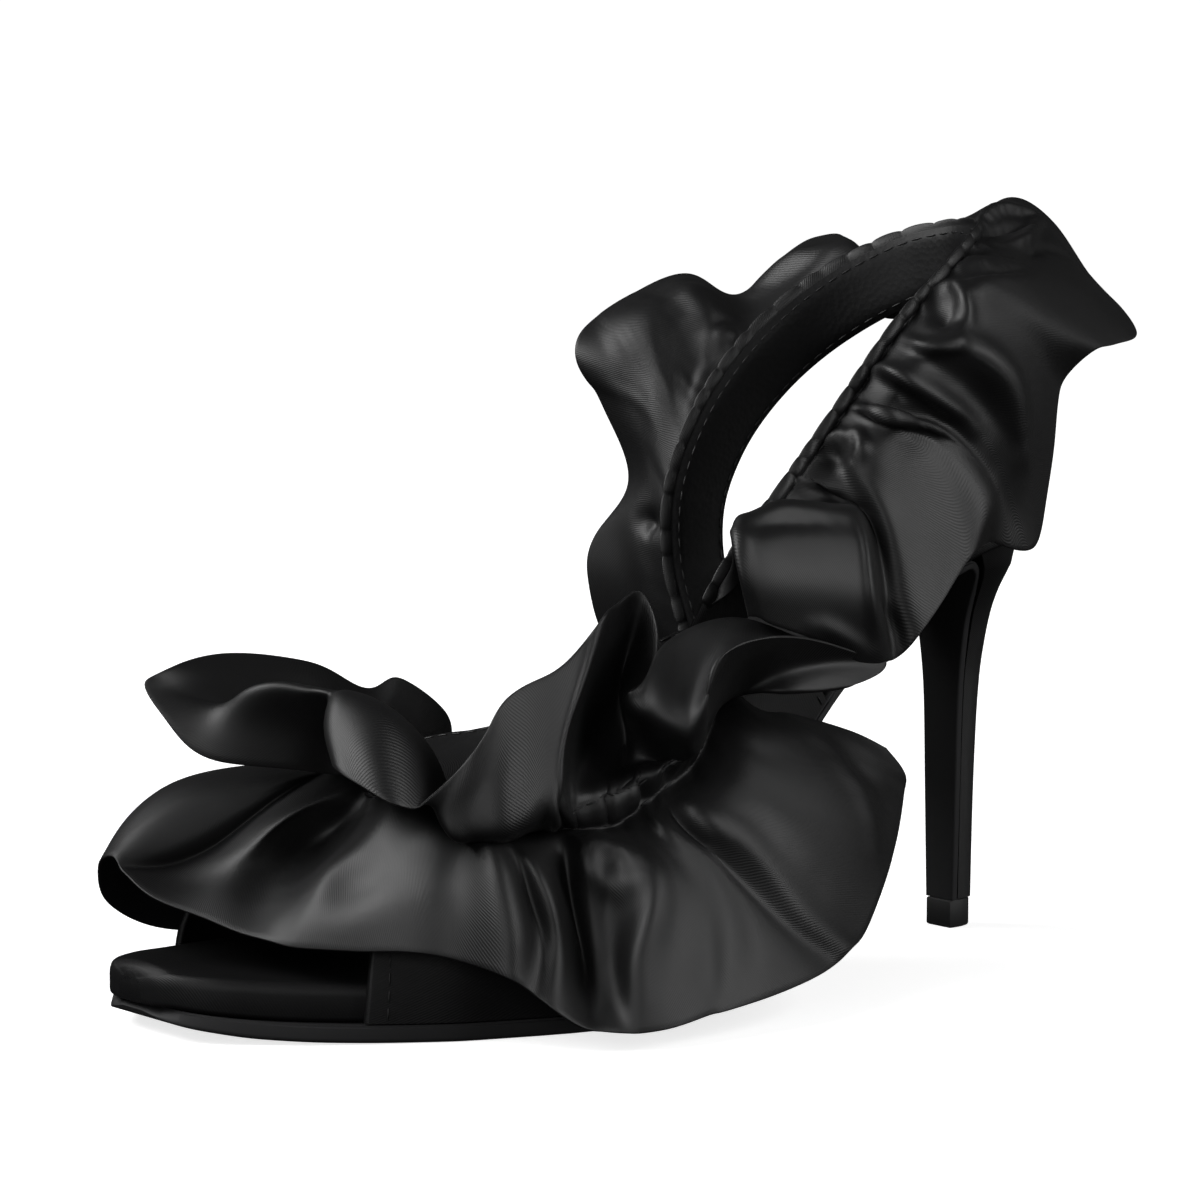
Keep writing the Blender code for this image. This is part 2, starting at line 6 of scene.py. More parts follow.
import bpy
import numpy as np
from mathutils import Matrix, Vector


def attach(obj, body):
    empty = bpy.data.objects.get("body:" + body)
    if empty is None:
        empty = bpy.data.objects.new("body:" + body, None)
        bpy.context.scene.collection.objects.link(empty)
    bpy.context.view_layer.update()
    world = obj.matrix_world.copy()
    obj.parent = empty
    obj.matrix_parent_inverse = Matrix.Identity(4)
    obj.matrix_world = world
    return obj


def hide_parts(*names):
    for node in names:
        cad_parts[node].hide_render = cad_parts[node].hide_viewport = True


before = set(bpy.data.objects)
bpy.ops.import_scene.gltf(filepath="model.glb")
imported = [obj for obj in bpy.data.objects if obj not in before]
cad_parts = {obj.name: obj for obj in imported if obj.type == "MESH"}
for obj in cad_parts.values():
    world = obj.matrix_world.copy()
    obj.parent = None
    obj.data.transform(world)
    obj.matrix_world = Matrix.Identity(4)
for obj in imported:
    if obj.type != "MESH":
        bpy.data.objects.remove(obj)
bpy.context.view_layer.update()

MM = 0.001

# Sole, insole and heel. The sole's upper edge has a fine step, and its lower edge is rounded by a share
# of the thickness.
GAP = 0.3
WELD = 0.001
SOLE_EDGE_ROUND = 0.28
STEP_IN, STEP_LOW, STEP_HIGH = 0.35, 0.55, 0.4
SEAT_THICKNESS = 2.25
INSOLE_ROUND = 2.6
INSOLE_DOME = 1.2
FLAP_FOOT = 6.3
HEEL_FOOT = 6.4
HEEL_FLARE = 55.0
HEEL_SIDES = 41
HEEL_BACK_ROUND, HEEL_SIDE_ROUND = 0.72, 0.9
TIP_FRONT, TIP_BACK, TIP_HALF = 124.6, 132.4, 3.8

# Vamp and sling strap. Far means the medial half of the sling, which starts at a share of the strap's run.
UPPER_WALL = 1.6
UPPER_INSET = 0.2
LAST_FULLNESS = 2.3
VAMP_ROLL = 0.5
STRAP_WALL = 2.2
STRAP_WIDTH = 12.0
STRAP_DROP = 1.6
FAR_STRAP_EXTRA = 1.8
FAR_START, FAR_BLEND = 0.46, 0.12
EDGE_THINNING, EDGE_SHARPNESS = 0.75, 6
SATIN_ROLL, LINING_ROLL = 0.3, 0.25
SATIN_BACK, LINING_BACK = 0.1, 0.2

# Cloth: its seams, the puffed heading above the sling's seam, and small gathers by the seams
CLOTH = 0.5
HEM_TURNS = np.radians((50.0, 90.0, 130.0))
SEAM_LIFT = 1.3
SEAM_BELOW_TOP = 0.4
FAR_SEAM_BELOW_TOP = 1.6
SEWN_OFF = 0.05
HEADING = 3.0
FAR_HEADING_EXTRA = 0.7
FAR_LEAN = 0.15
FAR_PUFF_DEPTH = 0.8
PUFF = 6.5
PUFF_STEPS = np.array((1.0, 0.8, 0.6, 0.4, 0.2))
VAMP_GATHER_STEP, VAMP_GATHER_HEIGHT = 4.8, 1.2
SLING_GATHER_STEP, SLING_GATHER_HEIGHT = 5.5, 0.6
FAR_GATHER_LESS = 0.6
GATHER_REACH = (2.5, 6.0)
FRILL_SEED, SKIRT_SEED, SLING_SEED, PUFF_SEED = 3, 8, 5, 11
FOLD_ROUNDS, CREASE_ROUNDS = 7, 2
FINE_STEPS = 3000
FOOT_MIDDLE = np.array((-5.0, -3.0, 10.0))

# Stitches: length, spacing, thickness, first place, distance of rows from edges, lift off the cloth
STITCH_LENGTH = 2.6
STITCH_STEP = 3.4
THREAD = 0.4
FIRST_STITCH = 0.6
EDGE_STITCH = 1.1
VAMP_EDGE_STITCH = 2.0
LINING_STITCH_DEPTH = 0.78
SEAM_STITCH_LIFT, GATHER_STITCH_LIFT, EDGE_STITCH_LIFT = 0.7, 0.3, 0.1

# Camera, read from the photograph: distance, height and lens give its frame
CAMERA_PLACE = (-0.5433, -0.7350, 0.1792)
CAMERA_TURN, CAMERA_RISE, CAMERA_LENS = -38.0, 6.2, 138.0

# Studio: radius of the white cove, painted glow of its floor near the shoe, where it ramps up to full white,
# fill light, lit spot
COVE = 6.0
FLOOR_GLOW = 0.75
FADE_START, FADE_END = 0.2, 1.2
FILL_LIGHT = 0.02
LIT_SPOT = (0.03, 0.0, 0.06)

# Softboxes: name, place, width and height, brightness
LIGHTS = (
    ("left_softbox", (-1.04, 0.52, 1.13), (1.6, 0.8), 6.6),
    ("right_softbox", (0.80, -1.23, 0.74), (0.8, 1.2), 3.6),
    ("rear_softbox", (1.41, -0.73, 0.39), (0.8, 0.8), 0.6),
    ("front_softbox", (-1.21, -0.93, 0.45), (1.2, 0.8), 2.0),
)

# Underside of the outsole from the toe over the ball and the arch, then down the breast of the heel.
# along, height of the underside, lateral edge, medial edge, thickness
OUTSOLE_ROWS = (
    (-77.0, 5.4, 4.0, 12.4, 2.4),
    (-76.5, 4.6, -0.6, 16.2, 2.6),
    (-74.6, 3.5, -5.2, 20.2, 2.9),
    (-70.2, 2.4, -10.6, 24.6, 3.2),
    (-63.0, 1.2, -16.5, 30.0, 3.5),
    (-53.0, 0.5, -24.0, 35.0, 3.5),
    (-40.0, 0.1, -31.5, 38.5, 3.5),
    (-28.0, 0.0, -37.5, 39.5, 3.5),
    (3.0, 0.0, -45.4, 36.4, 3.5),
    (12.0, 2.6, -44.8, 33.4, 3.4),
    (23.0, 9.8, -41.8, 29.8, 3.1),
    (35.0, 20.0, -37.0, 26.0, 2.7),
    (50.0, 35.0, -31.0, 22.5, 2.3),
    (67.0, 51.0, -26.5, 21.0, 2.0),
    (78.0, 60.2, -24.5, 21.0, 2.0),
    (90.0, 68.5, -23.5, 21.5, 2.0),
    (100.0, 74.0, -22.5, 21.5, 2.0),
    (108.0, 77.8, -21.0, 20.5, 1.9),
    (113.0, 79.5, -19.5, 19.0, 1.8),
    (117.5, 80.1, -17.5, 17.0, 1.8),
    (121.0, 78.3, -15.0, 14.5, 1.8),
    (123.4, 74.0, -11.0, 10.8, 1.8),
    (124.4, 66.0, -7.6, 7.6, 1.8),
    (124.6, 50.0, -5.6, 5.6, 1.8),
    (124.6, 30.0, -5.0, 5.0, 1.8),
    (124.6, FLAP_FOOT, -4.3, 4.3, 1.8),
)

# Rows of the outsole that lie under the foot
FOOT_ROWS = 19

# Underside of the heel seat behind the breast: along, height
SEAT_ROWS = (
    (100.0, 74.0),
    (108.0, 77.8),
    (113.0, 79.9),
    (125.0, 83.2),
    (143.0, 87.0),
)

# Insole board in its satin cover: along, lateral edge, medial edge, upright thickness
INSOLE_ROWS = (
    (-77.6, 4.2, 12.0, 4.6),
    (-76.9, -0.2, 16.0, 5.6),
    (-74.8, -4.7, 19.7, 6.5),
    (-70.2, -9.8, 24.0, 7.1),
    (-62.4, -15.4, 28.8, 7.4),
    (-53.0, -21.4, 32.2, 7.4),
    (-45.0, -26.2, 34.2, 7.4),
    (-28.0, -34.7, 36.7, 7.4),
    (-2.0, -42.2, 34.7, 7.4),
    (10.0, -42.2, 31.2, 7.2),
    (22.0, -39.2, 27.2, 7.5),
    (35.0, -34.2, 23.2, 7.8),
    (50.0, -28.2, 19.7, 7.8),
    (67.0, -23.7, 17.4, 7.2),
    (78.0, -21.7, 17.4, 6.6),
    (90.0, -21.6, 19.6, 6.0),
    (104.0, -22.5, 21.5, 5.4),
    (120.0, -22.5, 22.5, 5.0),
    (131.0, -19.5, 19.5, 5.0),
    (138.0, -13.5, 13.5, 4.8),
    (141.0, -8.0, 8.0, 4.4),
    (142.0, -4.0, 4.0, 4.0),
)

# Heel block: height, front face, back, half width at the front
HEEL_ROWS = (
    (HEEL_FOOT, 126.75, 132.6, 3.9),
    (25.0, 126.75, 132.8, 4.3),
    (45.0, 126.75, 133.4, 4.9),
    (55.0, 126.75, 134.0, 5.5),
    (63.0, 126.7, 134.8, 6.8),
    (69.0, 126.4, 135.6, 8.4),
    (74.0, 125.9, 136.4, 10.8),
    (77.5, 124.7, 137.2, 13.4),
    (80.0, 123.0, 137.8, 15.6),
)
HEEL_TOP = (119.5, 139.4, 18.2)

# Crown of the last, where it carries the vamp: along, height of the crown above the floor
CROWN_ROWS = (
    (-56.0, 33.0),
    (-40.0, 40.5),
    (-25.0, 47.0),
    (-5.0, 54.5),
    (10.0, 63.0),
    (25.0, 75.0),
    (40.0, 88.0),
    (60.0, 101.0),
    (80.0, 110.0),
)

# Edges of the vamp, going round the foot from the lateral sole to the medial sole: around, front, rear
VAMP_ROWS = (
    (0.0, -47.0, 70.0),
    (12.0, -46.0, 63.0),
    (24.0, -44.5, 53.0),
    (36.0, -42.0, 45.0),
    (48.0, -39.0, 39.0),
    (60.0, -34.5, 31.0),
    (70.0, -31.5, 20.0),
    (80.0, -30.5, 6.0),
    (90.0, -30.5, -5.0),
    (105.0, -31.0, -8.5),
    (120.0, -34.0, -7.0),
    (135.0, -40.0, -2.0),
    (150.0, -45.0, 6.0),
    (165.0, -49.0, 14.0),
    (180.0, -50.0, 20.0),
)

# Middle line of the sling strap, from the lateral wing of the vamp round the heel to the medial waist.
# along, across, height, facing (0 is straight back), lean of the strap's width
STRAP_ROWS = (
    (20.0, -32.2, 53.0, -68.0, 0.0),
    (29.0, -29.4, 63.0, -68.0, 0.0),
    (37.0, -26.6, 71.5, -72.0, 0.0),
    (47.8, -26.6, 83.5, -86.0, 0.0),
    (60.8, -27.0, 96.0, -92.0, 0.0),
    (75.8, -27.0, 112.0, -90.0, 0.0),
    (91.8, -26.0, 129.0, -80.0, 0.0),
    (106.0, -22.3, 139.0, -62.0, 0.0),
    (117.0, -15.5, 144.7, -42.0, 0.0),
    (125.0, -7.5, 147.0, -20.0, 0.0),
    (127.5, 0.0, 147.5, 0.0, 0.0),
    (125.0, 8.5, 146.0, 22.0, 0.0),
    (117.5, 17.0, 141.0, 45.0, 0.0),
    (108.0, 23.0, 134.0, 65.0, 0.0),
    (93.0, 26.0, 121.5, 82.0, 0.0),
    (82.0, 26.5, 108.0, 88.0, 0.0),
    (76.0, 26.3, 94.0, 90.0, 0.0),
    (75.0, 25.0, 81.0, 92.0, 0.0),
    (76.0, 22.2, 70.5, 90.0, 18.0),
    (76.5, 20.2, 62.4, 90.0, 38.0),
)

# Gathering seam of the vamp ruffle, from the medial sole over the vamp to the foot of the strap.
# along, around
VAMP_SEAM_ROWS = (
    (8.0, 170.0),
    (0.0, 157.0),
    (-10.0, 142.0),
    (-20.0, 122.0),
    (-25.0, 103.0),
    (-26.0, 82.0),
    (-22.0, 60.0),
    (-17.0, 47.0),
    (-7.0, 41.0),
    (2.0, 36.0),
    (13.0, 35.0),
    (24.0, 31.0),
    (31.0, 33.0),
    (36.0, 38.0),
)

# Lengths of the two seams as the tables below count them, and the share of the strap ahead of its ruffle
SEAM_RUN = 169.0
SLING_RUN = 264.0
SLING_START = 0.11

# Second row of gathering stitches, above the seam on the lateral side: place on the seam, distance from it
SECOND_GATHER_ROWS = (
    (113.0, 6.0),
    (117.0, 6.5),
    (122.0, 7.0),
    (128.0, 6.5),
    (134.0, 4.5),
)

# Strength of the small gathers along the vamp seam, tight by the lateral side: place, strength
GATHER_ROWS = (
    (0.0, 0.5),
    (44.0, 0.3),
    (60.0, 0.1),
    (92.0, 0.1),
    (100.0, 1.0),
    (136.0, 1.0),
    (148.0, 0.5),
    (169.0, 0.4),
)

# Standing edge of the vamp ruffle, one row for each turn of a fold.
# place on the seam; then five points from the seam to the hem, each as along, across, height
FRILL_ROWS = (
    (0, 11, 37, 21, 15, 40, 28, 20, 44, 33, 25, 48, 37, 31, 52, 40),
    (10, 5, 36, 28, 10, 37, 34, 15, 40, 40, 20, 42, 45, 25, 45, 50),
    (20, -2, 35, 37, 3, 36, 44, 6, 38, 49, 9, 40, 54, 11, 42, 59),
    (32, -12, 30, 42, -9, 31, 47, -6, 33, 51, -3, 36, 55, 0, 40, 58),
    (42, -20, 24, 48, -20, 25, 54, -20, 27, 59, -20, 29, 63, -20, 32, 66),
    (50, -31.5, 14, 51.5, -34.5, 16, 56.5, -37, 20, 61.5, -40.5, 24, 66, -44.5, 28, 69.5),
    (56.2, -36, 10.5, 52, -44, 11.5, 58, -51, 13.5, 61.5, -57.5, 17, 64.5, -65, 19, 67.5),
    (57, -36, 10, 52.5, -44.5, 11, 58, -52.5, 12.5, 61, -59, 16, 63.5, -66.5, 20, 66.5),
    (57.8, -35, 9.5, 52.5, -44, 10.5, 58.5, -52, 12, 61, -59, 15, 63, -66, 19, 64.5),
    (61, -33.5, 7, 54, -43.5, 8, 62, -51.5, 9, 63, -57.5, 11, 61, -64.5, 14, 59.5),
    (63, -33.5, 5, 55.5, -44, 5, 63.5, -53.5, 5.5, 65.5, -56.5, 8, 60, -62.5, 12, 55.5),
    (66, -34, 1, 57, -44.5, 0, 65.5, -53, 0, 67.5, -54.5, 4, 60.5, -58.5, 7.5, 52),
    (68.5, -34.5, -2, 58, -43, -3, 65.5, -50.5, -4, 68, -50, 0.5, 60.5, -52.5, 3.5, 51),
    (71, -33.5, -4, 58.5, -41, -6, 65.5, -48, -8, 67, -44.5, -3, 59.5, -44.5, -1, 50),
    (73.5, -31.5, -6, 58.5, -38.5, -9, 65, -46, -12, 66.5, -38, -7, 59.5, -36.5, -6, 49),
    (74.5, -31, -7.5, 58, -38, -10.5, 65, -45.5, -14, 66, -45.5, -12, 62, -47.5, -18, 53),
    (75.2, -31, -8.5, 57.5, -38, -12, 65, -46.5, -17, 66.5, -49.5, -17.5, 62, -52, -24, 54),
    (76.5, -29.5, -10, 57, -36.5, -13.5, 64.5, -45.5, -19.5, 66, -49, -20.5, 61.5, -52.5, -27, 53),
    (80, -27, -12, 56, -35, -17, 63.5, -44, -23, 65, -48.5, -24.5, 60.5, -51.5, -31, 51.5),
    (84, -25.5, -16, 54, -32.5, -21, 60.5, -41.5, -28.5, 61.5, -46.5, -31.5, 57, -49, -37, 48.5),
    (88, -24.5, -21, 50.5, -30.5, -26, 55, -36.5, -31, 55, -41.5, -35, 52, -45, -38.5, 47),
    (90.5, -26, -25, 47.5, -30.5, -29, 49.5, -34.5, -32, 49.5, -39, -35.5, 48.5, -42.5, -38, 46.5),
    (92.5, -28.5, -30, 44, -32.5, -33, 43.5, -36.5, -36, 45, -38.5, -37.5, 46.5, -40.5, -38.5, 48),
    (95, -29.5, -33, 40, -36.5, -39, 41, -37.5, -38, 43.5, -36.5, -38.5, 47.5, -35, -38.5, 51.5),
    (99, -25.5, -37, 39, -32, -41.5, 40.5, -32.5, -40.5, 45, -31, -41, 51.5, -29.5, -41, 58.5),
    (103, -20, -38, 39, -28, -45.5, 41, -28, -44, 48, -25, -42, 56, -24, -40, 65),
    (107, -16, -40, 41, -22, -46, 43.5, -21.5, -44, 50.5, -19, -42, 59, -18, -39.5, 68),
    (111, -16.5, -46.5, 44.5, -16, -45, 49, -14.5, -43.5, 55.5, -12, -42, 63, -9.5, -40, 71),
    (113.8, -15, -46, 46, -14.5, -45, 51, -12, -43.5, 58, -7.5, -41.5, 66, -2.5, -39.5, 76.5),
    (115.4, -14, -46, 46.5, -13, -44.5, 52.5, -10.5, -43, 59.5, -5, -41.5, 68, 2.5, -39, 81),
    (116, -11, -43, 46, -10, -41.5, 51.5, -6.5, -39, 58.5, 0, -36, 67.5, 7, -34, 80.5),
    (117.4, -8, -42, 44, -1.5, -34, 50, 3.5, -31, 57.5, 9, -29, 67, 14, -30, 82),
    (119.5, -4.5, -42, 44.5, 4.5, -33, 50, 9, -30, 57, 15.5, -26, 68, 18.5, -29, 83.5),
    (122, -1, -42, 45.5, 8.5, -33, 49.5, 12, -30, 57, 16, -27, 67, 18, -35, 75.5),
    (124, 2, -42, 46, 11, -33, 49.5, 14, -31, 56, 10.5, -33, 64, 12.5, -40, 68),
    (126, 4.5, -42, 47.5, 12.5, -35, 50, 12, -36, 56, 3.5, -42.5, 63.5, 3, -43.5, 65),
    (128, 6.5, -42, 48, 14.5, -36, 50, 14, -38.5, 54.5, 5, -46, 62.5, 7, -44, 66.5),
    (130, 9, -42, 49, 15.5, -38, 50, 13.5, -42.5, 53.5, 6.5, -49, 60.5, 12.5, -41, 72),
    (133, 11, -43, 50, 16.5, -41, 50.5, 15, -46, 53, 9, -51, 58, 18.5, -40, 75),
    (137, 15, -43, 51, 18, -44, 51.5, 16, -49, 53, 12, -52.5, 56.5, 26.5, -41, 77.5),
    (142, 20, -42, 52, 19.5, -46, 53.5, 17, -51, 56, 13.5, -55, 62.5, 34, -43.5, 77.5),
    (148, 23.5, -41, 54, 22, -45, 57.5, 19, -50, 63, 16, -55, 71.5, 45, -48, 73),
    (154, 28, -39, 57.5, 28.5, -42, 63, 29, -47, 69, 34, -52, 73.5, 60.5, -49, 69),
    (159, 31.5, -37, 60, 33.5, -41, 63, 37.5, -46, 66, 47, -48, 68, 65.5, -49, 67),
    (162, 33.5, -36.5, 61, 34.5, -42, 63, 37.5, -48, 64.5, 47, -50, 66, 62.5, -50, 65),
    (164, 34.5, -36, 61.5, 35, -43, 63, 37.5, -49, 64, 46, -51, 64, 57, -51, 64),
    (169, 37, -35, 62.5, 36.5, -42, 63, 37, -48, 63, 43, -50, 63, 50.5, -50.5, 63),
)

# Hanging edge of the vamp ruffle, columns as above.
SKIRT_ROWS = (
    (0, 14, 38, 21, 17, 40, 20, 20, 43, 18, 22, 46, 15, 23, 48, 11),
    (14, 0, 40, 31, -3, 44, 26, -5, 48, 20, -7, 50, 15, -8, 52, 9),
    (26, -16, 38, 38, -26, 42, 33, -36, 47, 26, -40, 49, 19, -42, 50, 11),
    (36, -30, 34, 44, -43, 39, 40, -53, 43, 34, -58, 45, 27, -59, 46, 19),
    (44, -29.5, 24, 46.5, -42, 28, 46.5, -54, 32, 43.5, -62.5, 35, 36, -67, 36, 28),
    (50, -36, 16, 47, -47.5, 19, 46, -58, 22, 43, -66.5, 25, 37.5, -71.5, 26, 32),
    (53, -38.5, 12, 46, -49, 15, 43.5, -58, 18, 40, -66, 20.5, 36, -72, 22, 32.5),
    (54.6, -40.5, 10, 44.5, -48, 12, 39.5, -56, 14.5, 34.5, -64, 18, 32, -72, 20.5, 31.5),
    (55.6, -39, 12, 43, -46, 14.5, 38, -53, 17, 33, -62, 19.5, 30, -72, 20, 30.5),
    (57, -40.5, 4, 43, -47.5, 7, 39, -54, 11, 33, -62.5, 16, 29, -72, 17.5, 29.5),
    (61, -38.5, -1, 44, -47, 0, 40.5, -53.5, 4, 34.5, -62, 8.5, 27.5, -71, 10.5, 26),
    (66, -34.5, -4, 44.5, -42, 1, 40.5, -51, 2, 32.5, -58.5, 1, 27, -64.5, 1, 22.5),
    (69, -31.5, -4, 43, -36, 2, 36.5, -45.5, 1, 30.5, -54.5, -3, 25.5, -61.5, -5, 20.5),
    (72, -31.5, -8, 42.5, -35.5, -3, 36, -43.5, -4, 30, -52.5, -8, 25, -59, -10, 19.5),
    (75.5, -35, -19, 43, -40.5, -18, 37, -47.5, -16, 32, -52.5, -17, 25.5, -56, -17, 18.5),
    (78, -35, -22, 41.5, -40.5, -22, 35.5, -46, -20.5, 29.5, -51, -21, 24.5, -53.5, -21, 18.5),
    (83, -36, -27, 39.5, -39.5, -27.5, 34, -43.5, -28, 29, -46.5, -28, 24, -48.5, -28, 18.5),
    (89, -34, -32.5, 39.5, -36.5, -33.5, 34, -39.5, -35, 28.5, -41.5, -35.5, 23.5, -43, -36, 19),
    (95, -29.5, -36.5, 39, -32, -38, 34.5, -34, -40, 29.5, -35, -42, 24, -36, -43, 17.5),
    (100, -27.5, -42, 39, -28.5, -46.5, 36, -29, -50, 30.5, -29.5, -53, 23.5, -32, -54, 15),
    (102.5, -23, -40.5, 38, -22, -42.5, 35, -22, -45, 29, -21.5, -48, 21.5, -27.5, -54, 12),
    (105, -21.5, -43, 37.5, -22.5, -48, 34.5, -22, -51.5, 29.5, -21, -53, 20, -26, -57, 10),
    (109, -14, -41.5, 37, -14.5, -44, 33, -15, -46.5, 27.5, -15.5, -50, 18, -23.5, -59, 7.5),
    (112, -9, -39.5, 37, -9, -40.5, 32, -10, -43, 25.5, -10.5, -47.5, 14.5, -19.5, -60, 5),
    (115, -9.5, -45, 38, -10, -47, 33, -9.5, -48, 26, -10, -51, 15, -16.5, -61.5, 4.5),
    (119, -7, -48.5, 38.5, -6.5, -50, 33.5, -5.5, -51, 26, -7.5, -54.5, 16, -13, -63, 4),
    (123, -1, -50.5, 37.5, 0, -56, 34.5, -2.5, -60, 28, -8, -62, 17.5, -9.5, -65.5, 4),
    (126, 3, -50, 37.5, 5, -56, 32.5, 3, -60, 24.5, 0, -63, 15.5, -3.5, -67, 4.5),
    (130, 6, -49.5, 39, 9, -55.5, 32, 10, -60, 24, 8, -64, 15.5, 6, -67, 6),
    (134, 8.5, -49, 40.5, 14, -54, 33.5, 16.5, -59, 24.5, 15.5, -63, 15.5, 12.5, -67, 6.5),
    (135, 10, -48.5, 40, 15, -54, 33.5, 19, -59, 25.5, 20.5, -63.5, 17, 21, -66.5, 7.5),
    (136, 11.5, -48, 39.5, 16, -53.5, 33.5, 20.5, -58.5, 26, 26.5, -62.5, 17, 31.5, -65, 9),
    (137.5, 13, -48, 39, 18, -53, 33.5, 24, -57, 26, 33, -60, 17, 43, -60.5, 10.5),
    (139, 14, -50, 40, 19.5, -54.5, 35.5, 26.5, -58, 28.5, 34, -61, 19.5, 44.5, -61.5, 12.5),
    (142, 16, -51.5, 42, 22, -55.5, 38, 30, -58, 31, 40, -58.5, 22.5, 52.5, -56.5, 13.5),
    (146, 20, -50.5, 44, 27.5, -54, 40.5, 36.5, -56, 34.5, 47, -55.5, 26.5, 58.5, -53.5, 18),
    (150, 25, -48.5, 46.5, 33, -51.5, 43, 42.5, -53, 38, 53, -52.5, 31, 66, -48.5, 23),
    (155, 30, -46, 50, 39, -48.5, 46.5, 49.5, -49.5, 42, 60.5, -48, 36, 76.5, -39.5, 27.5),
    (160, 34.5, -43, 53.5, 44, -44.5, 50.5, 53, -45, 47, 64, -42.5, 42, 85, -32, 33.5),
    (164, 39, -40, 56, 48, -40.5, 53.5, 57.5, -39.5, 50, 70, -35, 44.5, 91, -26, 36.5),
    (166.5, 41.5, -37.5, 57, 53.5, -36.5, 54, 65.5, -34.5, 50.5, 77.5, -31, 46, 90.5, -27, 40),
    (169, 44.5, -34, 57.5, 56.5, -32, 55.5, 67, -30, 52.5, 76, -29, 49.5, 84, -28, 46),
)

# Creases pressed into the standing edge.
# place and share across (0 seam, 1 hem) of its start, middle and end; width; height along the cloth's face
FRILL_CREASES = (
    (115.1, 0.21, 118.8, 0.13, 122.1, 0.15, 1, -1.5),
    (122.6, 0.15, 125.5, 0.21, 129.5, 0.18, 1, -1.5),
    (114.1, 0.10, 115.1, 0.26, 116.4, 0.26, 1, -1.8),
    (121.8, 0.03, 122.6, 0.10, 122.1, 0.23, 1, -1.8),
    (132.8, 0.00, 130.1, 0.08, 127.6, 0.23, 1, -1.8),
    (140.1, 0.00, 138.2, 0.05, 133.5, 0.18, 1, -1.4),
)

# Creases of the hanging edge, columns as above.
SKIRT_CREASES = (
    (62.8, 0.62, 66.2, 0.72, 69.0, 0.85, 5, 1.4),
    (78.6, 0.54, 77.9, 0.67, 75.4, 0.77, 5, 1),
    (117.6, 0.26, 119.9, 0.31, 121.3, 0.31, 4, 2.2),
    (114.9, 0.23, 117.6, 0.36, 121.3, 0.41, 2, -1.8),
    (137.8, 0.05, 140.4, 0.23, 137.4, 0.36, 2.5, -1.6),
    (167.7, 0.33, 159.6, 0.59, 152.4, 0.85, 3, -1.4),
    (166.6, 0.46, 163.2, 0.72, 156.1, 0.87, 4, 1.5),
    (147.2, 0.28, 144.5, 0.44, 143.4, 0.69, 3.5, 0.9),
)

# Creases of the sling ruffle, columns as above.
SLING_CREASES = (
    (129.2, 0.00, 135.3, 0.37, 129.6, 0.80, 1.4, -2.8),
    (128.3, 0.73, 125.2, 0.39, 120.4, 0.07, 1.4, -2.6),
    (126.4, 0.03, 128.9, 0.24, 127.5, 0.51, 1.6, 2.8),
    (109.3, 0.00, 114.9, 0.03, 114.2, 0.10, 1, -1.5),
    (98.3, 0.00, 105.1, 0.07, 113.2, 0.12, 1.2, -1.8),
    (99.5, 0.10, 105.8, 0.17, 119.1, 0.36, 1.7, 1.6),
    (116.0, 0.12, 120.9, 0.44, 120.9, 0.78, 1.7, 1.2),
    (87.5, 0.02, 93.0, 0.00, 96.9, 0.12, 1.5, -2.4),
    (96.9, 0.12, 93.7, 0.24, 85.6, 0.29, 1.5, -2.4),
    (85.6, 0.29, 81.7, 0.20, 77.5, 0.03, 1.5, -2.2),
    (87.0, 0.17, 90.0, 0.17, 89.0, 0.22, 4.5, 3),
    (68.1, 0.00, 69.1, 0.10, 68.1, 0.20, 1.5, -2.2),
    (68.1, 0.20, 69.1, 0.34, 68.6, 0.49, 1.8, -2.2),
    (65.6, 0.12, 65.6, 0.17, 65.6, 0.24, 2.6, 2.2),
    (84.6, 0.31, 81.7, 0.53, 75.8, 0.68, 4.5, -2.5),
    (72.8, 0.32, 73.6, 0.47, 71.1, 0.64, 4.5, 1),
    (57.5, 0.03, 60.4, 0.24, 61.0, 0.46, 1.3, -2.2),
    (60.3, 0.05, 62.5, 0.20, 64.3, 0.37, 1.6, 1.8),
    (56.3, 0.22, 58.1, 0.34, 59.3, 0.51, 1.2, 1.2),
    (45.7, 0.00, 49.4, 0.03, 53.4, 0.14, 1.2, -1.8),
    (53.4, 0.14, 51.6, 0.20, 47.9, 0.19, 1.2, -1.8),
    (44.8, 0.03, 46.6, 0.08, 47.3, 0.17, 2.2, 2.2),
    (36.1, 0.00, 38.6, 0.10, 41.2, 0.25, 1.5, -1.8),
    (68.6, 0.69, 68.1, 0.85, 68.1, 0.97, 4, 1),
    (37.4, 0.73, 41.2, 0.86, 42.1, 0.98, 1.5, 1.2),
    (7.7, 0.58, 20.6, 0.49, 31.8, 0.44, 1.8, 1.4),
    (22.4, 0.95, 27.3, 0.93, 33.7, 0.95, 1.5, -1.5),
    (196.3, 0.81, 196.9, 0.47, 198.0, 0.29, 4, -2.6),
    (198.0, 0.29, 195.7, 0.22, 191.6, 0.17, 2.5, -2),
    (215.6, 0.92, 205.4, 0.68, 198.5, 0.63, 11, -2.2),
    (212.9, 0.49, 204.3, 0.27, 202.1, 0.17, 8, 2),
    (179.5, 0.83, 175.0, 0.86, 165.7, 0.51, 4, -2),
    (175.9, 0.29, 172.4, 0.34, 169.3, 0.39, 3, 2),
    (240.8, 0.47, 240.1, 0.41, 239.0, 0.31, 2.2, 2.5),
)
CREASE_SPREAD = 10.0

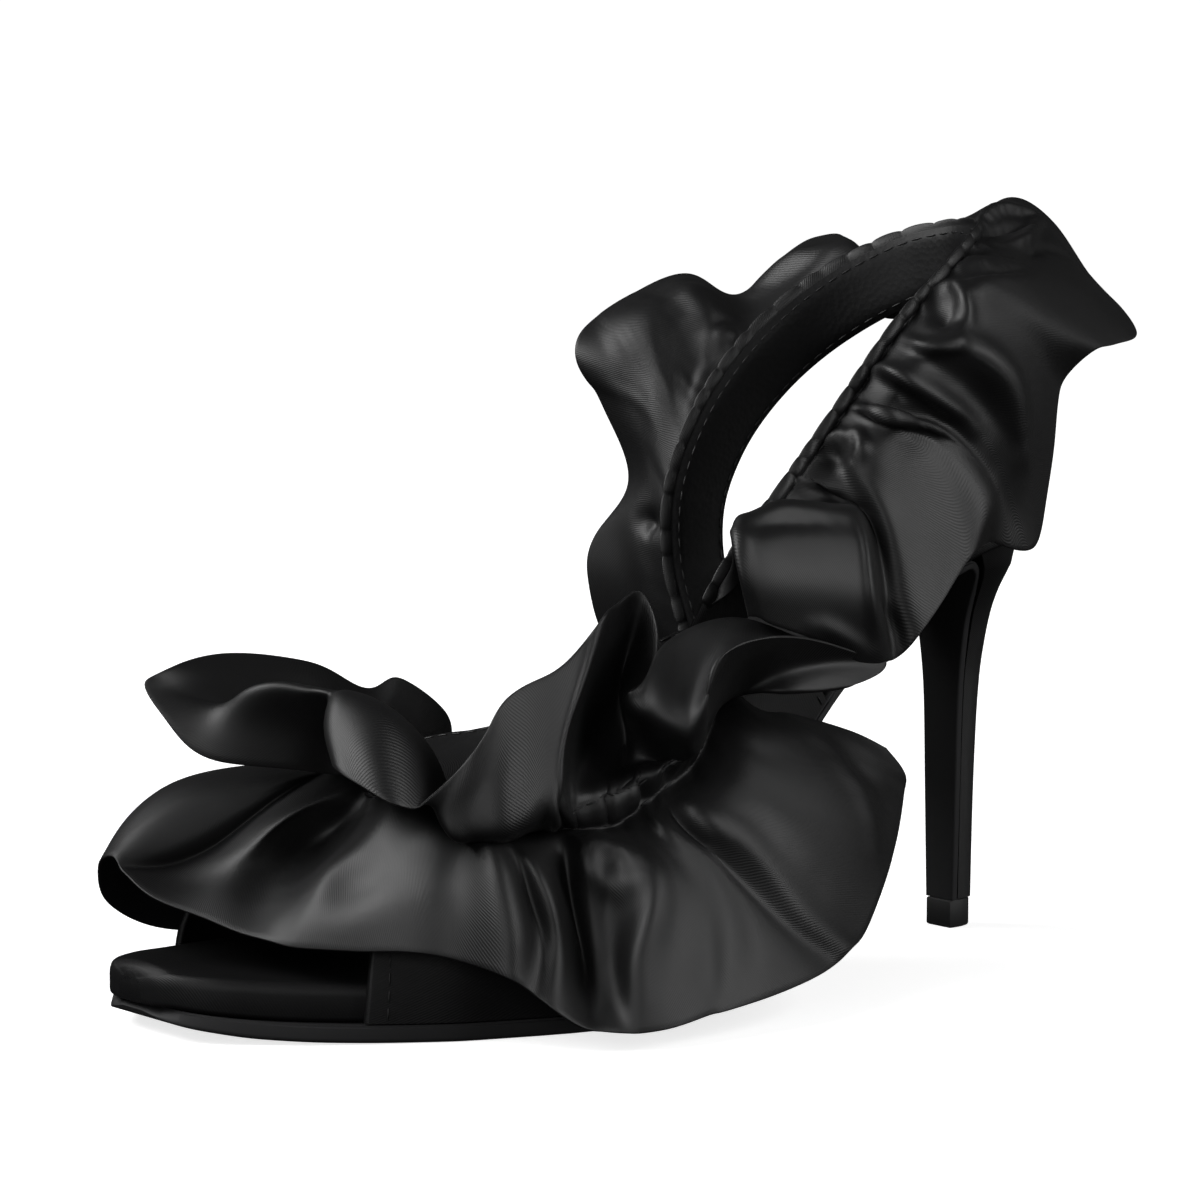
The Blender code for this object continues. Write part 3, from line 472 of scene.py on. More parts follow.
# Wide edge of the sling ruffle, its places counted from the lateral end; columns as those of the folds above.
SLING_ROWS = (
    (0, 39.5, -33, 83, 40, -35, 88.5, 39, -38, 91.5, 39, -40, 85.5, 41, -40, 78.5),
    (3, 38, -34, 86, 34.5, -38, 91.5, 29.5, -43, 95, 27, -48, 89.5, 30.5, -47.5, 79),
    (6, 37, -35, 88.5, 33, -40, 97, 30.5, -45.5, 97, 28.5, -50, 87, 31.5, -49, 79),
    (12, 40, -36, 93, 36, -41, 98.5, 34, -46, 95.5, 32, -50.5, 86, 34, -49.5, 77.5),
    (20, 49, -33, 96.5, 42.5, -43, 100, 42, -46.5, 95, 39.5, -51, 85, 41.5, -50, 75),
    (27, 58, -32, 98, 51, -44, 98.5, 51.5, -47, 94, 49.5, -51.5, 83.5, 52, -49.5, 71),
    (33, 64.5, -32, 98, 60, -43, 98, 59.5, -47, 93.5, 57, -52, 82.5, 61.5, -48.5, 66.5),
    (36.5, 67, -32, 98, 64, -42, 97.5, 61.5, -47.5, 93, 59.5, -52.5, 82, 66.5, -48.5, 67.5),
    (38, 68, -32, 99, 68.5, -38, 96.5, 67.5, -42, 90.5, 66.5, -46, 80, 70, -45, 67),
    (40, 67.5, -33, 100, 70.5, -37, 95.5, 71, -40, 88.5, 70.5, -43, 77.5, 71.5, -44.5, 67),
    (43, 68, -34, 101.5, 71, -38.5, 95.5, 71.5, -41.5, 87.5, 71.5, -45, 77, 73, -46, 68.5),
    (47, 67.5, -36, 104.5, 71, -41.5, 96, 73, -44, 87, 74, -46.5, 78, 74.5, -48, 71.5),
    (52, 70, -37.5, 108.5, 76.5, -41.5, 98.5, 79.5, -44, 89.5, 81, -46, 82.5, 81.5, -47.5, 78),
    (56.5, 74, -38.5, 113.5, 82.5, -40, 107, 87.5, -42.5, 99.5, 89.5, -44.5, 92.5, 89.5, -46, 85.5),
    (60, 73, -41, 115.5, 86.5, -39, 112, 93.5, -41.5, 105.5, 98.5, -44, 98, 95, -44, 88),
    (62, 76.5, -38, 116, 86.5, -40, 113, 97, -40, 106, 104.5, -39, 97.5, 104, -37, 88.5),
    (66, 78.5, -37, 121, 87, -38.5, 115.5, 97, -38.5, 108.5, 107, -37.5, 97.5, 111, -36, 86.5),
    (70, 79, -39.5, 123.5, 89, -40.5, 118.5, 101, -39.5, 111.5, 110, -37.5, 100, 118, -35, 85.5),
    (75, 83, -38, 126.5, 93, -39, 121.5, 103, -39.5, 115, 112, -38, 104, 122, -33.5, 88.5),
    (80, 85, -39, 128.5, 94, -40.5, 127, 103.5, -41, 121.5, 110.5, -39.5, 111.5, 124.5, -32.5, 95.5),
    (86, 88, -40, 131.5, 95, -41, 129.5, 104.5, -41, 124, 115.5, -37.5, 115.5, 128, -31, 106),
    (92, 94.5, -37.5, 135.5, 101.5, -38.5, 132.5, 109, -38.5, 127.5, 119, -35.5, 121.5, 131, -29, 116),
    (97, 98.5, -37, 139.5, 105.5, -37, 136, 114.5, -36, 131, 123.5, -33, 124.5, 133.5, -28, 120.5),
    (103, 104.5, -35, 142.5, 113, -35, 139, 121.5, -35, 134, 129.5, -34, 129.5, 138, -32, 126.5),
    (109, 113, -30, 144.5, 124, -29, 141.5, 134, -28, 137, 141, -28.5, 132, 149, -28, 127.5),
    (115, 121.5, -24, 146, 134.5, -21, 144, 147, -19, 140, 155, -20, 134, 162, -21, 129),
    (120, 128.5, -18, 147.5, 142, -13, 147, 154, -10, 143.5, 161.5, -10, 138, 167, -11, 134),
    (125, 133.5, -12, 150, 146, -6, 150, 155.5, -3, 149, 160.5, -3, 145, 164.5, -4, 140.5),
    (130, 137.5, -5, 152.5, 147, 0, 153.5, 154.5, 3, 154, 158, 4, 153, 161.5, 5, 152.5),
    (136, 136.5, 0, 154, 141, 2, 155.5, 144.5, 4, 157, 148.5, 7, 157.5, 151, 9, 158),
    (146, 129, 13, 150, 134, 17, 149.5, 137, 20, 146, 138, 22, 140, 138, 23, 133),
    (150, 125.5, 17, 148, 129.5, 21, 146.5, 131.5, 24, 142.5, 131.5, 25, 137, 130, 25, 131.5),
    (155, 122.5, 20.5, 146, 126, 24.5, 146, 128, 28.5, 144, 128, 31, 141.5, 127.5, 33, 138.5),
    (161, 119.5, 24, 144.5, 123, 28, 147, 126, 32, 148.5, 129, 36, 149, 131, 40, 149.5),
    (165, 117, 26, 143, 121, 31, 145.5, 124, 36, 147, 127, 41, 148, 129, 45, 149),
    (172, 113, 29, 139, 116, 34, 141, 120, 38, 143, 122, 43, 145, 125, 48, 147),
    (181, 103, 33, 133, 105, 38, 133, 108, 44, 134, 111, 49, 135, 114, 54, 136),
    (194, 93, 34, 129, 94, 39, 133, 95, 45, 137, 98, 51, 139, 100, 58, 141),
    (206, 82, 33, 121, 80, 39, 126, 79, 46, 130, 80, 53, 132, 82, 60, 134),
    (218, 77, 33, 112, 75, 38, 117, 74, 44, 121, 71, 50, 123, 68, 56, 125),
    (228, 74, 32, 101, 74, 36, 106, 74, 41, 110, 73, 46, 112, 72, 52, 114),
    (236, 73, 32, 92, 73.5, 35.5, 95, 74, 39, 98, 75, 42.5, 98, 75.5, 46.5, 96.5),
    (243, 72, 33, 83, 72, 37.5, 85, 72, 43.5, 87.5, 71.5, 48.5, 86.5, 70.5, 53.5, 83.5),
    (250, 73, 32, 75, 72, 36.5, 76.5, 72, 42, 76.5, 70.5, 47.5, 76, 69.5, 53, 74),
    (257, 75, 31, 67, 74, 35.5, 67.5, 74.5, 40.5, 66.5, 73.5, 45.5, 65, 72.5, 51, 62),
    (264, 77, 28, 61, 77.5, 32, 61, 78.5, 36.5, 59.5, 78.5, 41, 58, 78, 45.5, 55.5),
)

# Rubber top piece: height, inset of its sides
TIP_ROWS = (
    (0.0, 0.5),
    (0.15, 0.15),
    (0.5, 0.0),
    (3.0, 0.0),
    (HEEL_FOOT - GAP - 0.3, 0.0),
    (HEEL_FOOT - GAP, 0.2),
)

# Lower edge of the insole, turned under: inset, height
INSOLE_FOOT_ROWS = (
    (0.8, 0.0),
    (0.2, 0.25),
    (0.0, 0.9),
)


# Curves and grids

def smooth(knots, values, at, level):
    """Cubic curve through the rows; a level curve never overshoots a row."""
    knots = np.asarray(knots, float)
    values = np.asarray(values, float)
    at = np.clip(np.asarray(at, float), knots[0], knots[-1])
    step = np.diff(knots)
    rise = np.diff(values) / step
    slope = np.empty_like(values)
    slope[0] = rise[0]
    slope[-1] = rise[-1]
    for i in range(1, len(values) - 1):
        before, after = rise[i - 1], rise[i]
        if not level:
            slope[i] = (step[i] * before + step[i - 1] * after) / (step[i] + step[i - 1])
        elif before * after <= 0.0:
            slope[i] = 0.0
        else:
            slope[i] = 2.0 * before * after / (before + after)
    cell = np.clip(np.searchsorted(knots, at, side="right") - 1, 0, len(step) - 1)
    t = (at - knots[cell]) / step[cell]
    h = step[cell]
    low = (1.0 + 2.0 * t) * (1.0 - t) ** 2 * values[cell] + t * (1.0 - t) ** 2 * h * slope[cell]
    high = t * t * (3.0 - 2.0 * t) * values[cell + 1] + t * t * (t - 1.0) * h * slope[cell + 1]
    return low + high


def columns(rows):
    """A table's columns as arrays."""
    return np.asarray(rows, float).T


def unit(vectors):
    """Vectors scaled to length one."""
    return vectors / np.maximum(np.linalg.norm(vectors, axis=-1, keepdims=True), 1e-9)


def add_up(steps):
    """Running sum of steps along their last axis, from zero."""
    start = np.zeros(steps.shape[:-1] + (1,))
    return np.concatenate((start, np.cumsum(steps, axis=-1)), axis=-1)


def run_along(points):
    """Distance along a line of points."""
    return add_up(np.linalg.norm(np.diff(points, axis=0), axis=1))


def across_reach(grid):
    """Distance across a grid, from its first column."""
    return add_up(np.linalg.norm(np.diff(grid, axis=1), axis=2))


def line_points(place, run, line):
    """Points of a line at places along its run."""
    return np.stack([np.interp(place, run, line[:, k]) for k in range(3)], axis=-1)


def grid_normals(grid):
    """Facing of a grid at each of its points."""
    return unit(np.cross(np.gradient(grid, axis=0), np.gradient(grid, axis=1)))


def even_rows(run, parts):
    """Places along a table, each stretch between two rows cut into equal parts."""
    at = [np.linspace(a, b, parts + 1)[:-1] for a, b in zip(run, run[1:])]
    return np.concatenate(at + [run[-1:]])


# Materials

# A wave texture's bands repeat every pi / 10 of its scaled coordinate.
WAVE_PERIOD = math.pi / 10.0

# Sizes of the finishes. The real twill is about 0.25 mm; it is drawn coarser, so that it shows.
TWILL, TWILL_TURN = 0.47, 38.0
SHEEN_PATCH = 12.0
LINING_GRAIN = 1.1
RUB_MARK = 4.0
MOULD_GRIT = 0.8
THREAD_PLY = 0.5


def linear(code):
    """Linear colour of an sRGB hex value."""
    parts = [int(code[i:i + 2], 16) / 255.0 for i in (1, 3, 5)]
    return [c / 12.92 if c <= 0.04045 else ((c + 0.055) / 1.055) ** 2.4 for c in parts] + [1.0]


def new_material(name, colour, roughness, **sockets):
    """A material and its shader, with what is the same all over set on the shader's own sockets."""
    material = bpy.data.materials.new(name)
    material.use_nodes = True
    shader = material.node_tree.nodes["Principled BSDF"]
    shader.inputs["Base Color"].default_value = linear(colour)
    shader.inputs["Roughness"].default_value = roughness
    for socket, value in sockets.items():
        shader.inputs[socket.replace("_", " ")].default_value = value
    return material, shader


def add_node(material, kind, values=None, links=None, **settings):
    """One shader node with its settings, its values and its links from other nodes' sockets."""
    node = material.node_tree.nodes.new(kind)
    for key, value in settings.items():
        setattr(node, key, value)
    for socket, value in (values or {}).items():
        node.inputs[socket].default_value = value
    for socket, source in (links or {}).items():
        material.node_tree.links.new(source, node.inputs[socket])
    return node


def feed(material, shader, **sources):
    """Links other nodes' outputs to the shader's sockets."""
    for socket, source in sources.items():
        material.node_tree.links.new(source, shader.inputs[socket.replace("_", " ")])


def satin_material(name, colour, shine, coat):
    """Duchess satin, woven with long floats: soft broad gloss, faint diagonal twill, near black.

    The ruffles, strap and heel have the full gloss; the cloth drawn flat over insole and vamp is darker and
    duller, partly a duller cloth and partly painted shade for the shadow that the ruffle casts on them.
    """
    material, shader = new_material(
        name, colour, 0.5, Specular_IOR_Level=shine, Coat_Weight=coat, Coat_Roughness=0.4,
    )
    cloth = add_node(material, "ShaderNodeUVMap", uv_map="cloth")
    turned = add_node(
        material, "ShaderNodeMapping", {"Rotation": (0.0, 0.0, math.radians(TWILL_TURN))},
        {"Vector": cloth.outputs["UV"]},
    )
    twill = add_node(
        material, "ShaderNodeTexWave",
        {"Scale": WAVE_PERIOD / (TWILL * MM), "Distortion": 0.6, "Detail": 1.0, "Detail Scale": 1.5},
        {"Vector": turned.outputs["Vector"]}, wave_type="BANDS", bands_direction="X",
    )
    cloudy = add_node(
        material, "ShaderNodeTexNoise", {"Scale": 1.0 / (SHEEN_PATCH * MM), "Detail": 3.0},
        {"Vector": cloth.outputs["UV"]},
    )
    gloss = add_node(
        material, "ShaderNodeMapRange", {"To Min": 0.47, "To Max": 0.53},
        {"Value": cloudy.outputs["Fac"]},
    )
    bump = add_node(
        material, "ShaderNodeBump", {"Strength": 0.2, "Distance": 0.0002},
        {"Height": twill.outputs["Fac"]},
    )
    feed(material, shader, Roughness=gloss.outputs["Result"], Normal=bump.outputs["Normal"])
    return material


def lining_material():
    """Thin goat-leather lining: fine pebbled grain, a dull waxy gloss."""
    material, shader = new_material("black_lining_leather", "#0c0c0d", 0.52, Specular_IOR_Level=0.3)
    place = add_node(material, "ShaderNodeTexCoord")
    grain = add_node(
        material, "ShaderNodeTexVoronoi", {"Scale": 1.0 / (LINING_GRAIN * MM)},
        {"Vector": place.outputs["Object"]},
    )
    bump = add_node(
        material, "ShaderNodeBump", {"Strength": 0.25, "Distance": 0.0002},
        {"Height": grain.outputs["Distance"]},
    )
    feed(material, shader, Normal=bump.outputs["Normal"])
    return material


def sole_material():
    """Edge-inked sole leather: dense and smooth, semi-matte, with faint rub marks."""
    material, shader = new_material("black_sole_leather", "#262627", 0.6, Specular_IOR_Level=0.3)
    place = add_node(material, "ShaderNodeTexCoord")
    rub = add_node(
        material, "ShaderNodeTexNoise", {"Scale": 1.0 / (RUB_MARK * MM), "Detail": 5.0},
        {"Vector": place.outputs["Object"]},
    )
    dull = add_node(
        material, "ShaderNodeMapRange", {"To Min": 0.56, "To Max": 0.7},
        {"Value": rub.outputs["Fac"]},
    )
    bump = add_node(
        material, "ShaderNodeBump", {"Strength": 0.08, "Distance": 0.0002},
        {"Height": rub.outputs["Fac"]},
    )
    feed(material, shader, Roughness=dull.outputs["Result"], Normal=bump.outputs["Normal"])
    return material


def rubber_material():
    """Moulded heel-tip rubber: dead matte, with a fine moulding texture."""
    material, shader = new_material("black_tip_rubber", "#101011", 0.62)
    place = add_node(material, "ShaderNodeTexCoord")
    grit = add_node(
        material, "ShaderNodeTexNoise", {"Scale": 1.0 / (MOULD_GRIT * MM), "Detail": 2.0},
        {"Vector": place.outputs["Object"]},
    )
    bump = add_node(
        material, "ShaderNodeBump", {"Strength": 0.2, "Distance": 0.0001},
        {"Height": grit.outputs["Fac"]},
    )
    feed(material, shader, Normal=bump.outputs["Normal"])
    return material


def thread_material():
    """Twisted polyester thread: a fine rope of plies with a slight shine."""
    material, shader = new_material("black_thread", "#0b0b0c", 0.5)
    place = add_node(material, "ShaderNodeTexCoord")
    plies = add_node(
        material, "ShaderNodeTexNoise", {"Scale": 1.0 / (THREAD_PLY * MM), "Detail": 1.0},
        {"Vector": place.outputs["Object"]},
    )
    bump = add_node(
        material, "ShaderNodeBump", {"Strength": 0.3, "Distance": 0.0001},
        {"Height": plies.outputs["Fac"]},
    )
    feed(material, shader, Normal=bump.outputs["Normal"])
    return material


SATIN = satin_material("black_satin", "#0a0a0b", 0.5, 0.12)
# Satin of the insole and vamp: darker colour and weaker gloss, partly the duller flat cloth and partly
# painted shade under the ruffle.
SHADED_FLAT_SATIN = satin_material("black_flat_satin_painted_shade", "#080809", 0.28, 0.05)
LINING = lining_material()
SOLE = sole_material()
RUBBER = rubber_material()
THREAD_FINISH = thread_material()


# Meshes

def set_cloth_map(mesh, places):
    """Cloth coordinates in metres, one pair for each vertex, as the mesh's map."""
    layer = mesh.uv_layers.active or mesh.uv_layers.new()
    layer.name = "cloth"
    corner = np.empty(len(mesh.loops), np.int32)
    mesh.loops.foreach_get("vertex_index", corner)
    layer.data.foreach_set("uv", (places[corner] * MM).astype(np.float32).ravel())


def grid_places(points):
    """Distance along and across a grid of points, as flat cloth coordinates."""
    along = np.linalg.norm(np.diff(points, axis=0), axis=2).mean(axis=1)
    across = np.linalg.norm(np.diff(points, axis=1), axis=2).mean(axis=0)
    return np.stack(np.meshgrid(add_up(along), add_up(across), indexing="ij"), axis=-1)


def finish_piece(piece, material, node=None):
    """Gives a piece its finish and its body, and hides the imported solid that it stands for."""
    piece.data.materials.clear()
    piece.data.materials.append(material)
    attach(piece, "root")
    if node:
        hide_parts(node)
    return piece


def shape_grid(name, points, sharp):
    """A grid primitive laid over a table of points, joined into a tube and capped."""
    rows, cols = points.shape[:2]
    bpy.ops.object.select_all(action="DESELECT")
    bpy.ops.mesh.primitive_grid_add(x_subdivisions=cols - 1, y_subdivisions=rows - 1, size=1.0)
    piece = bpy.context.object
    piece.name = name
    piece.data.name = name
    piece.data.vertices.foreach_set("co", (points.reshape(-1, 3) * MM).astype(np.float32).ravel())
    set_cloth_map(piece.data, grid_places(points).reshape(-1, 2))
    bpy.ops.object.mode_set(mode="EDIT")
    bpy.ops.mesh.select_all(action="SELECT")
    bpy.ops.mesh.remove_doubles(threshold=WELD * MM)
    bpy.ops.mesh.fill_holes(sides=0)
    bpy.ops.mesh.select_all(action="SELECT")
    bpy.ops.mesh.normals_make_consistent(inside=False)
    bpy.ops.object.mode_set(mode="OBJECT")
    bpy.ops.object.shade_smooth_by_angle(angle=math.radians(sharp))
    return piece


def mesh_piece(name, points, faces):
    """A smooth piece from points in millimetres and faces."""
    mesh = bpy.data.meshes.new(name)
    mesh.from_pydata((points * MM).tolist(), [], faces)
    mesh.shade_smooth()
    piece = bpy.data.objects.new(name, mesh)
    bpy.context.scene.collection.objects.link(piece)
    return piece


# Sole, insole and heel

def outsole_path(parts):
    """Underside, inward direction, edges and thickness along the outsole."""
    along, height, lateral, medial, thick = columns(OUTSOLE_ROWS)
    run = run_along(np.stack((along, height), axis=1))
    at = even_rows(run, parts)
    line = np.stack([smooth(run, v, at, True) for v in (along, height)], axis=1)
    tangent = unit(np.gradient(line, axis=0))
    tangent[line[:, 1] < 1e-6] = (1.0, 0.0)
    inward = np.stack((-tangent[:, 1], tangent[:, 0]), axis=1)
    edges = [smooth(run, v, at, True) for v in (lateral, medial, thick)]
    return line, inward, edges


def sole_top_table():
    """Upper face of the outsole, and of the heel's top behind it."""
    line, inward, (_, _, thick) = outsole_path(4)
    upper = line + inward * thick[:, None]
    front = upper[upper[:, 0].argsort()]
    seat_start, seat_end = SEAT_ROWS[0][0], SEAT_ROWS[-1][0]
    front = front[front[:, 0] < seat_start]
    rear_x = np.linspace(seat_start + 0.5, seat_end, 30)
    rear_z = smooth(*columns(SEAT_ROWS), rear_x, False) + SEAT_THICKNESS
    return np.concatenate((front[:, 0], rear_x)), np.concatenate((front[:, 1], rear_z))


SOLE_TOP = sole_top_table()


def outsole_top(x):
    """Height of the outsole's upper face."""
    return np.interp(x, *SOLE_TOP)


def closed_rings(rings):
    """Rings as a grid whose last column repeats its first."""
    points = np.array(rings)
    return np.concatenate((points, points[:, :1]), axis=1)


def build_outsole():
    """Leather sole from the toe to the flap on the heel; its profiles are inset and height."""
    line, inward, (lateral, medial, thick) = outsole_path(5)
    quarter = np.radians(np.linspace(0.0, 90.0, 5))
    rings = []
    for (x, z), (lean_x, lean_z), near, far, deep in zip(line, inward, lateral, medial, thick):
        radius = SOLE_EDGE_ROUND * deep
        bend = [(radius * (1.0 - math.sin(t)), radius * (1.0 - math.cos(t))) for t in quarter]
        step = [(0.0, deep - STEP_LOW), (STEP_IN, deep - STEP_HIGH), (STEP_IN, deep)]
        ring = [(near + inset, up) for inset, up in reversed(bend)]
        ring += [(far - inset, up) for inset, up in bend + step]
        ring += [(near + inset, up) for inset, up in reversed(step)]
        rings.append([(x + lean_x * up, y, z + lean_z * up) for y, up in ring])
    piece = shape_grid("sandal_outsole", closed_rings(rings), 35.0)
    return finish_piece(piece, SOLE, "outsole")


def build_insole():
    """Padded board wrapped in satin: rounded rim, slightly domed top, lower edge turned under."""
    along, lateral, medial, thick = columns(INSOLE_ROWS)
    run = run_along(np.stack((along, lateral), axis=1))
    at = even_rows(run, 6)
    x, near, far, deep = (smooth(run, v, at, True) for v in (along, lateral, medial, thick))
    quarter = np.radians(np.linspace(0.0, 90.0, 9))
    shares = np.linspace(0.0, 1.0, 15)[1:-1]
    foot = INSOLE_FOOT_ROWS
    rings = []
    for station, a, b, top, floor in zip(x, near, far, deep, outsole_top(x) + GAP):
        radius = min(INSOLE_ROUND, 0.45 * top, 0.3 * (b - a))
        rim = [(radius * (1.0 - math.cos(t)), top - radius * (1.0 - math.sin(t))) for t in quarter]
        ring = [(a + foot[0][0], foot[0][1])]
        ring += [(b - inset, up) for inset, up in list(foot) + rim]
        inner = [(b - radius + (a - b + 2.0 * radius) * s, s) for s in shares]
        ring += [(y, top + INSOLE_DOME * 4.0 * s * (1.0 - s)) for y, s in inner]
        ring += [(a + inset, up) for inset, up in reversed(list(foot[1:]) + rim)]
        rings.append([(station, y, floor + up) for y, up in ring])
    piece = shape_grid("satin_insole", closed_rings(rings), 60.0)
    return finish_piece(piece, SHADED_FLAT_SATIN, "insole")


def heel_ring(height, front, back, half):
    """Section of the heel: flat in front, round behind."""
    turn = np.radians(np.linspace(-90.0, 90.0, HEEL_SIDES))
    x = front + (back - front) * np.abs(np.cos(turn)) ** HEEL_BACK_ROUND
    y = half * np.sign(np.sin(turn)) * np.abs(np.sin(turn)) ** HEEL_SIDE_ROUND
    return np.stack((x, y, np.full(HEEL_SIDES, height)), axis=1)


def build_heel():
    """Slim heel that flares into the seat under the sole."""
    height, front, back, half = columns(HEEL_ROWS)
    shaft = np.linspace(height[0], HEEL_FLARE, 26)
    flare = np.linspace(HEEL_FLARE + 0.5, height[-1], 40)
    rings = [
        heel_ring(z, *(float(smooth(height, v, z, True)) for v in (front, back, half)))
        for z in np.concatenate((shaft, flare))
    ]
    top = heel_ring(0.0, *HEEL_TOP)
    top[:, 2] = outsole_top(top[:, 0])
    below = rings[-1]
    for share in (0.33, 0.67, 1.0):
        rings.append(below * (1.0 - share) + top * share)
    piece = shape_grid("satin_heel", closed_rings(rings), 40.0)
    return finish_piece(piece, SATIN, "heel")


def build_heel_tip():
    """Rubber top piece with broken edges."""
    rings = [heel_ring(z, TIP_FRONT + d, TIP_BACK - d, TIP_HALF - d) for z, d in TIP_ROWS]
    piece = shape_grid("rubber_heel_tip", closed_rings(rings), 35.0)
    return finish_piece(piece, RUBBER, "heel_tip")


# Upper

def last_point(along, around):
    """Point on the outside of the upper at a station and an angle round the foot."""
    rows = columns(OUTSOLE_ROWS[:FOOT_ROWS])
    lateral = smooth(rows[0], rows[2], along, True) + UPPER_INSET
    medial = smooth(rows[0], rows[3], along, True) - UPPER_INSET
    base = outsole_top(along) + GAP
    crown = smooth(*columns(CROWN_ROWS), along, True)
    turn = np.radians(around)
    power = 2.0 / LAST_FULLNESS
    middle, half = 0.5 * (lateral + medial), 0.5 * (medial - lateral)
    across = middle - half * np.sign(np.cos(turn)) * np.abs(np.cos(turn)) ** power
    height = base + (crown - base) * np.maximum(np.sin(turn), 0.0) ** power
    return np.stack((along, across, height), axis=-1)


def vamp_grid(around, share):
    """The vamp's outer face, from edge to edge at each angle."""
    angle, front, rear = columns(VAMP_ROWS)
    start = smooth(angle, front, around, True)
    stop = smooth(angle, rear, around, True)
    along = start[:, None] + (stop - start)[:, None] * share[None, :]
    turns = np.repeat(around[:, None], len(share), axis=1)
    return last_point(along.ravel(), turns.ravel()).reshape(len(around), len(share), 3)


def thick_shell(name, outer, inner, roll):
    """Wall between two grids whose front and rear edges are rolled over."""
    mid = 0.5 * (outer + inner)
    rims = []
    for edge, near in ((-1, -2), (0, 1)):
        away = unit(mid[:, edge] - mid[:, near]) * roll
        rims.append(mid[:, edge] + away)
    face = np.concatenate((outer, rims[0][:, None]), axis=1)
    back = np.concatenate((inner[:, ::-1], rims[1][:, None]), axis=1)
    points = np.concatenate((face, back, outer[:, :1]), axis=1)
    return shape_grid(name, points, 75.0)


def build_vamp():
    """Satin vamp; gives the lines of the stitches along its edges, with their facing."""
    fine = 1.0 - np.cos(np.radians(np.linspace(0.0, 90.0, 46)))
    around = np.concatenate((90.0 * fine, 180.0 - 90.0 * fine[-2::-1]))
    share = np.concatenate(([0.0, 0.004, 0.012], np.linspace(0.03, 0.97, 40), [0.988, 0.996, 1.0]))
    grid = vamp_grid(around, share)
    out = grid_normals(grid)
    crown = out[len(around) // 2, len(share) // 2]
    out = out * math.copysign(1.0, crown[2])
    for sole_edge in (0, -1):
        out[sole_edge, :, 2] = 0.0
    out = unit(out)
    piece = thick_shell("satin_vamp", grid, grid - out * UPPER_WALL, VAMP_ROLL)
    finish_piece(piece, SHADED_FLAT_SATIN, "upper")
    reach = across_reach(grid)
    row = np.arange(len(reach))
    edges = []
    for place in (np.full(len(reach), VAMP_EDGE_STITCH), reach[:, -1] - VAMP_EDGE_STITCH):
        col = [int(np.searchsorted(r, p)) for r, p in zip(reach, place)]
        edges.append((grid[row, col], out[row, col]))
    return edges


def far_half(share):
    """0 on the lateral half of the sling, 1 on its medial half."""
    return np.clip((np.asarray(share) - FAR_START) / FAR_BLEND, 0.0, 1.0)


def strap_frame(count):
    """Run, middle line, facing and width direction of the sling strap."""
    x, y, z, facing, lean = columns(STRAP_ROWS)
    run = run_along(np.stack((x, y, z), axis=1))
    at = np.linspace(0.0, run[-1], count)
    middle = np.stack([smooth(run, v, at, False) for v in (x, y, z)], axis=1)
    turn = np.radians(smooth(run, facing, at, False))
    tilt = np.radians(smooth(run, lean, at, True))
    tangent = unit(np.gradient(middle, axis=0))
    face = np.stack((np.cos(turn), np.sin(turn), np.zeros(count)), axis=1)
    upward = unit(np.cross(face, tangent))
    upward = unit(upward * np.cos(tilt)[:, None] + tangent * np.sin(tilt)[:, None])
    outward = unit(np.cross(upward, tangent))
    outward = outward * np.sign(np.sum(outward * face, axis=1, keepdims=True))
    return at, middle - upward * (STRAP_DROP * far_half(at / run[-1]))[:, None], outward, upward


def build_strap():
    """Satin outside and leather lining inside; gives the lining's stitch lines and the strap's facing."""
    at, middle, outward, upward = strap_frame(260)
    extra = FAR_STRAP_EXTRA * far_half(at / at[-1])
    across = np.linspace(-0.5, 0.5, 15) * STRAP_WIDTH
    inner_edge = np.clip(-across / (0.5 * STRAP_WIDTH), 0.0, 1.0)
    wide = across[None, :] - extra[:, None] * inner_edge[None, :]
    grid = middle[:, None] + upward[:, None] * wide[:, :, None]
    half = 0.5 * STRAP_WALL
    crown = half * (1.0 - np.abs(across / (0.5 * STRAP_WIDTH)) ** EDGE_SHARPNESS * EDGE_THINNING)
    outer = grid + outward[:, None] * crown[None, :, None]
    inner = grid - outward[:, None] * crown[None, :, None]
    shell = thick_shell("satin_strap", outer, grid - outward[:, None] * SATIN_BACK, SATIN_ROLL)
    finish_piece(shell, SATIN)
    lining = thick_shell("strap_lining", inner, grid - outward[:, None] * LINING_BACK, LINING_ROLL)
    finish_piece(lining, LINING)
    inset = 0.5 * STRAP_WIDTH - EDGE_STITCH
    face = middle - outward * (LINING_STITCH_DEPTH * half)
    return [face - upward * (inset + extra)[:, None], face + upward * inset], outward


# Stitches

def stitch_shape():
    """One stitch of unit length along X: a ball, drawn out when it is sewn."""
    bpy.ops.object.select_all(action="DESELECT")
    bpy.ops.mesh.primitive_uv_sphere_add(segments=8, ring_count=6, radius=0.5)
    ball = bpy.context.object
    points = np.empty(len(ball.data.vertices) * 3)
    ball.data.vertices.foreach_get("co", points)
    faces = [tuple(face.vertices) for face in ball.data.polygons]
    bpy.data.objects.remove(ball, do_unlink=True)
    return points.reshape(-1, 3), faces


STITCH = stitch_shape()


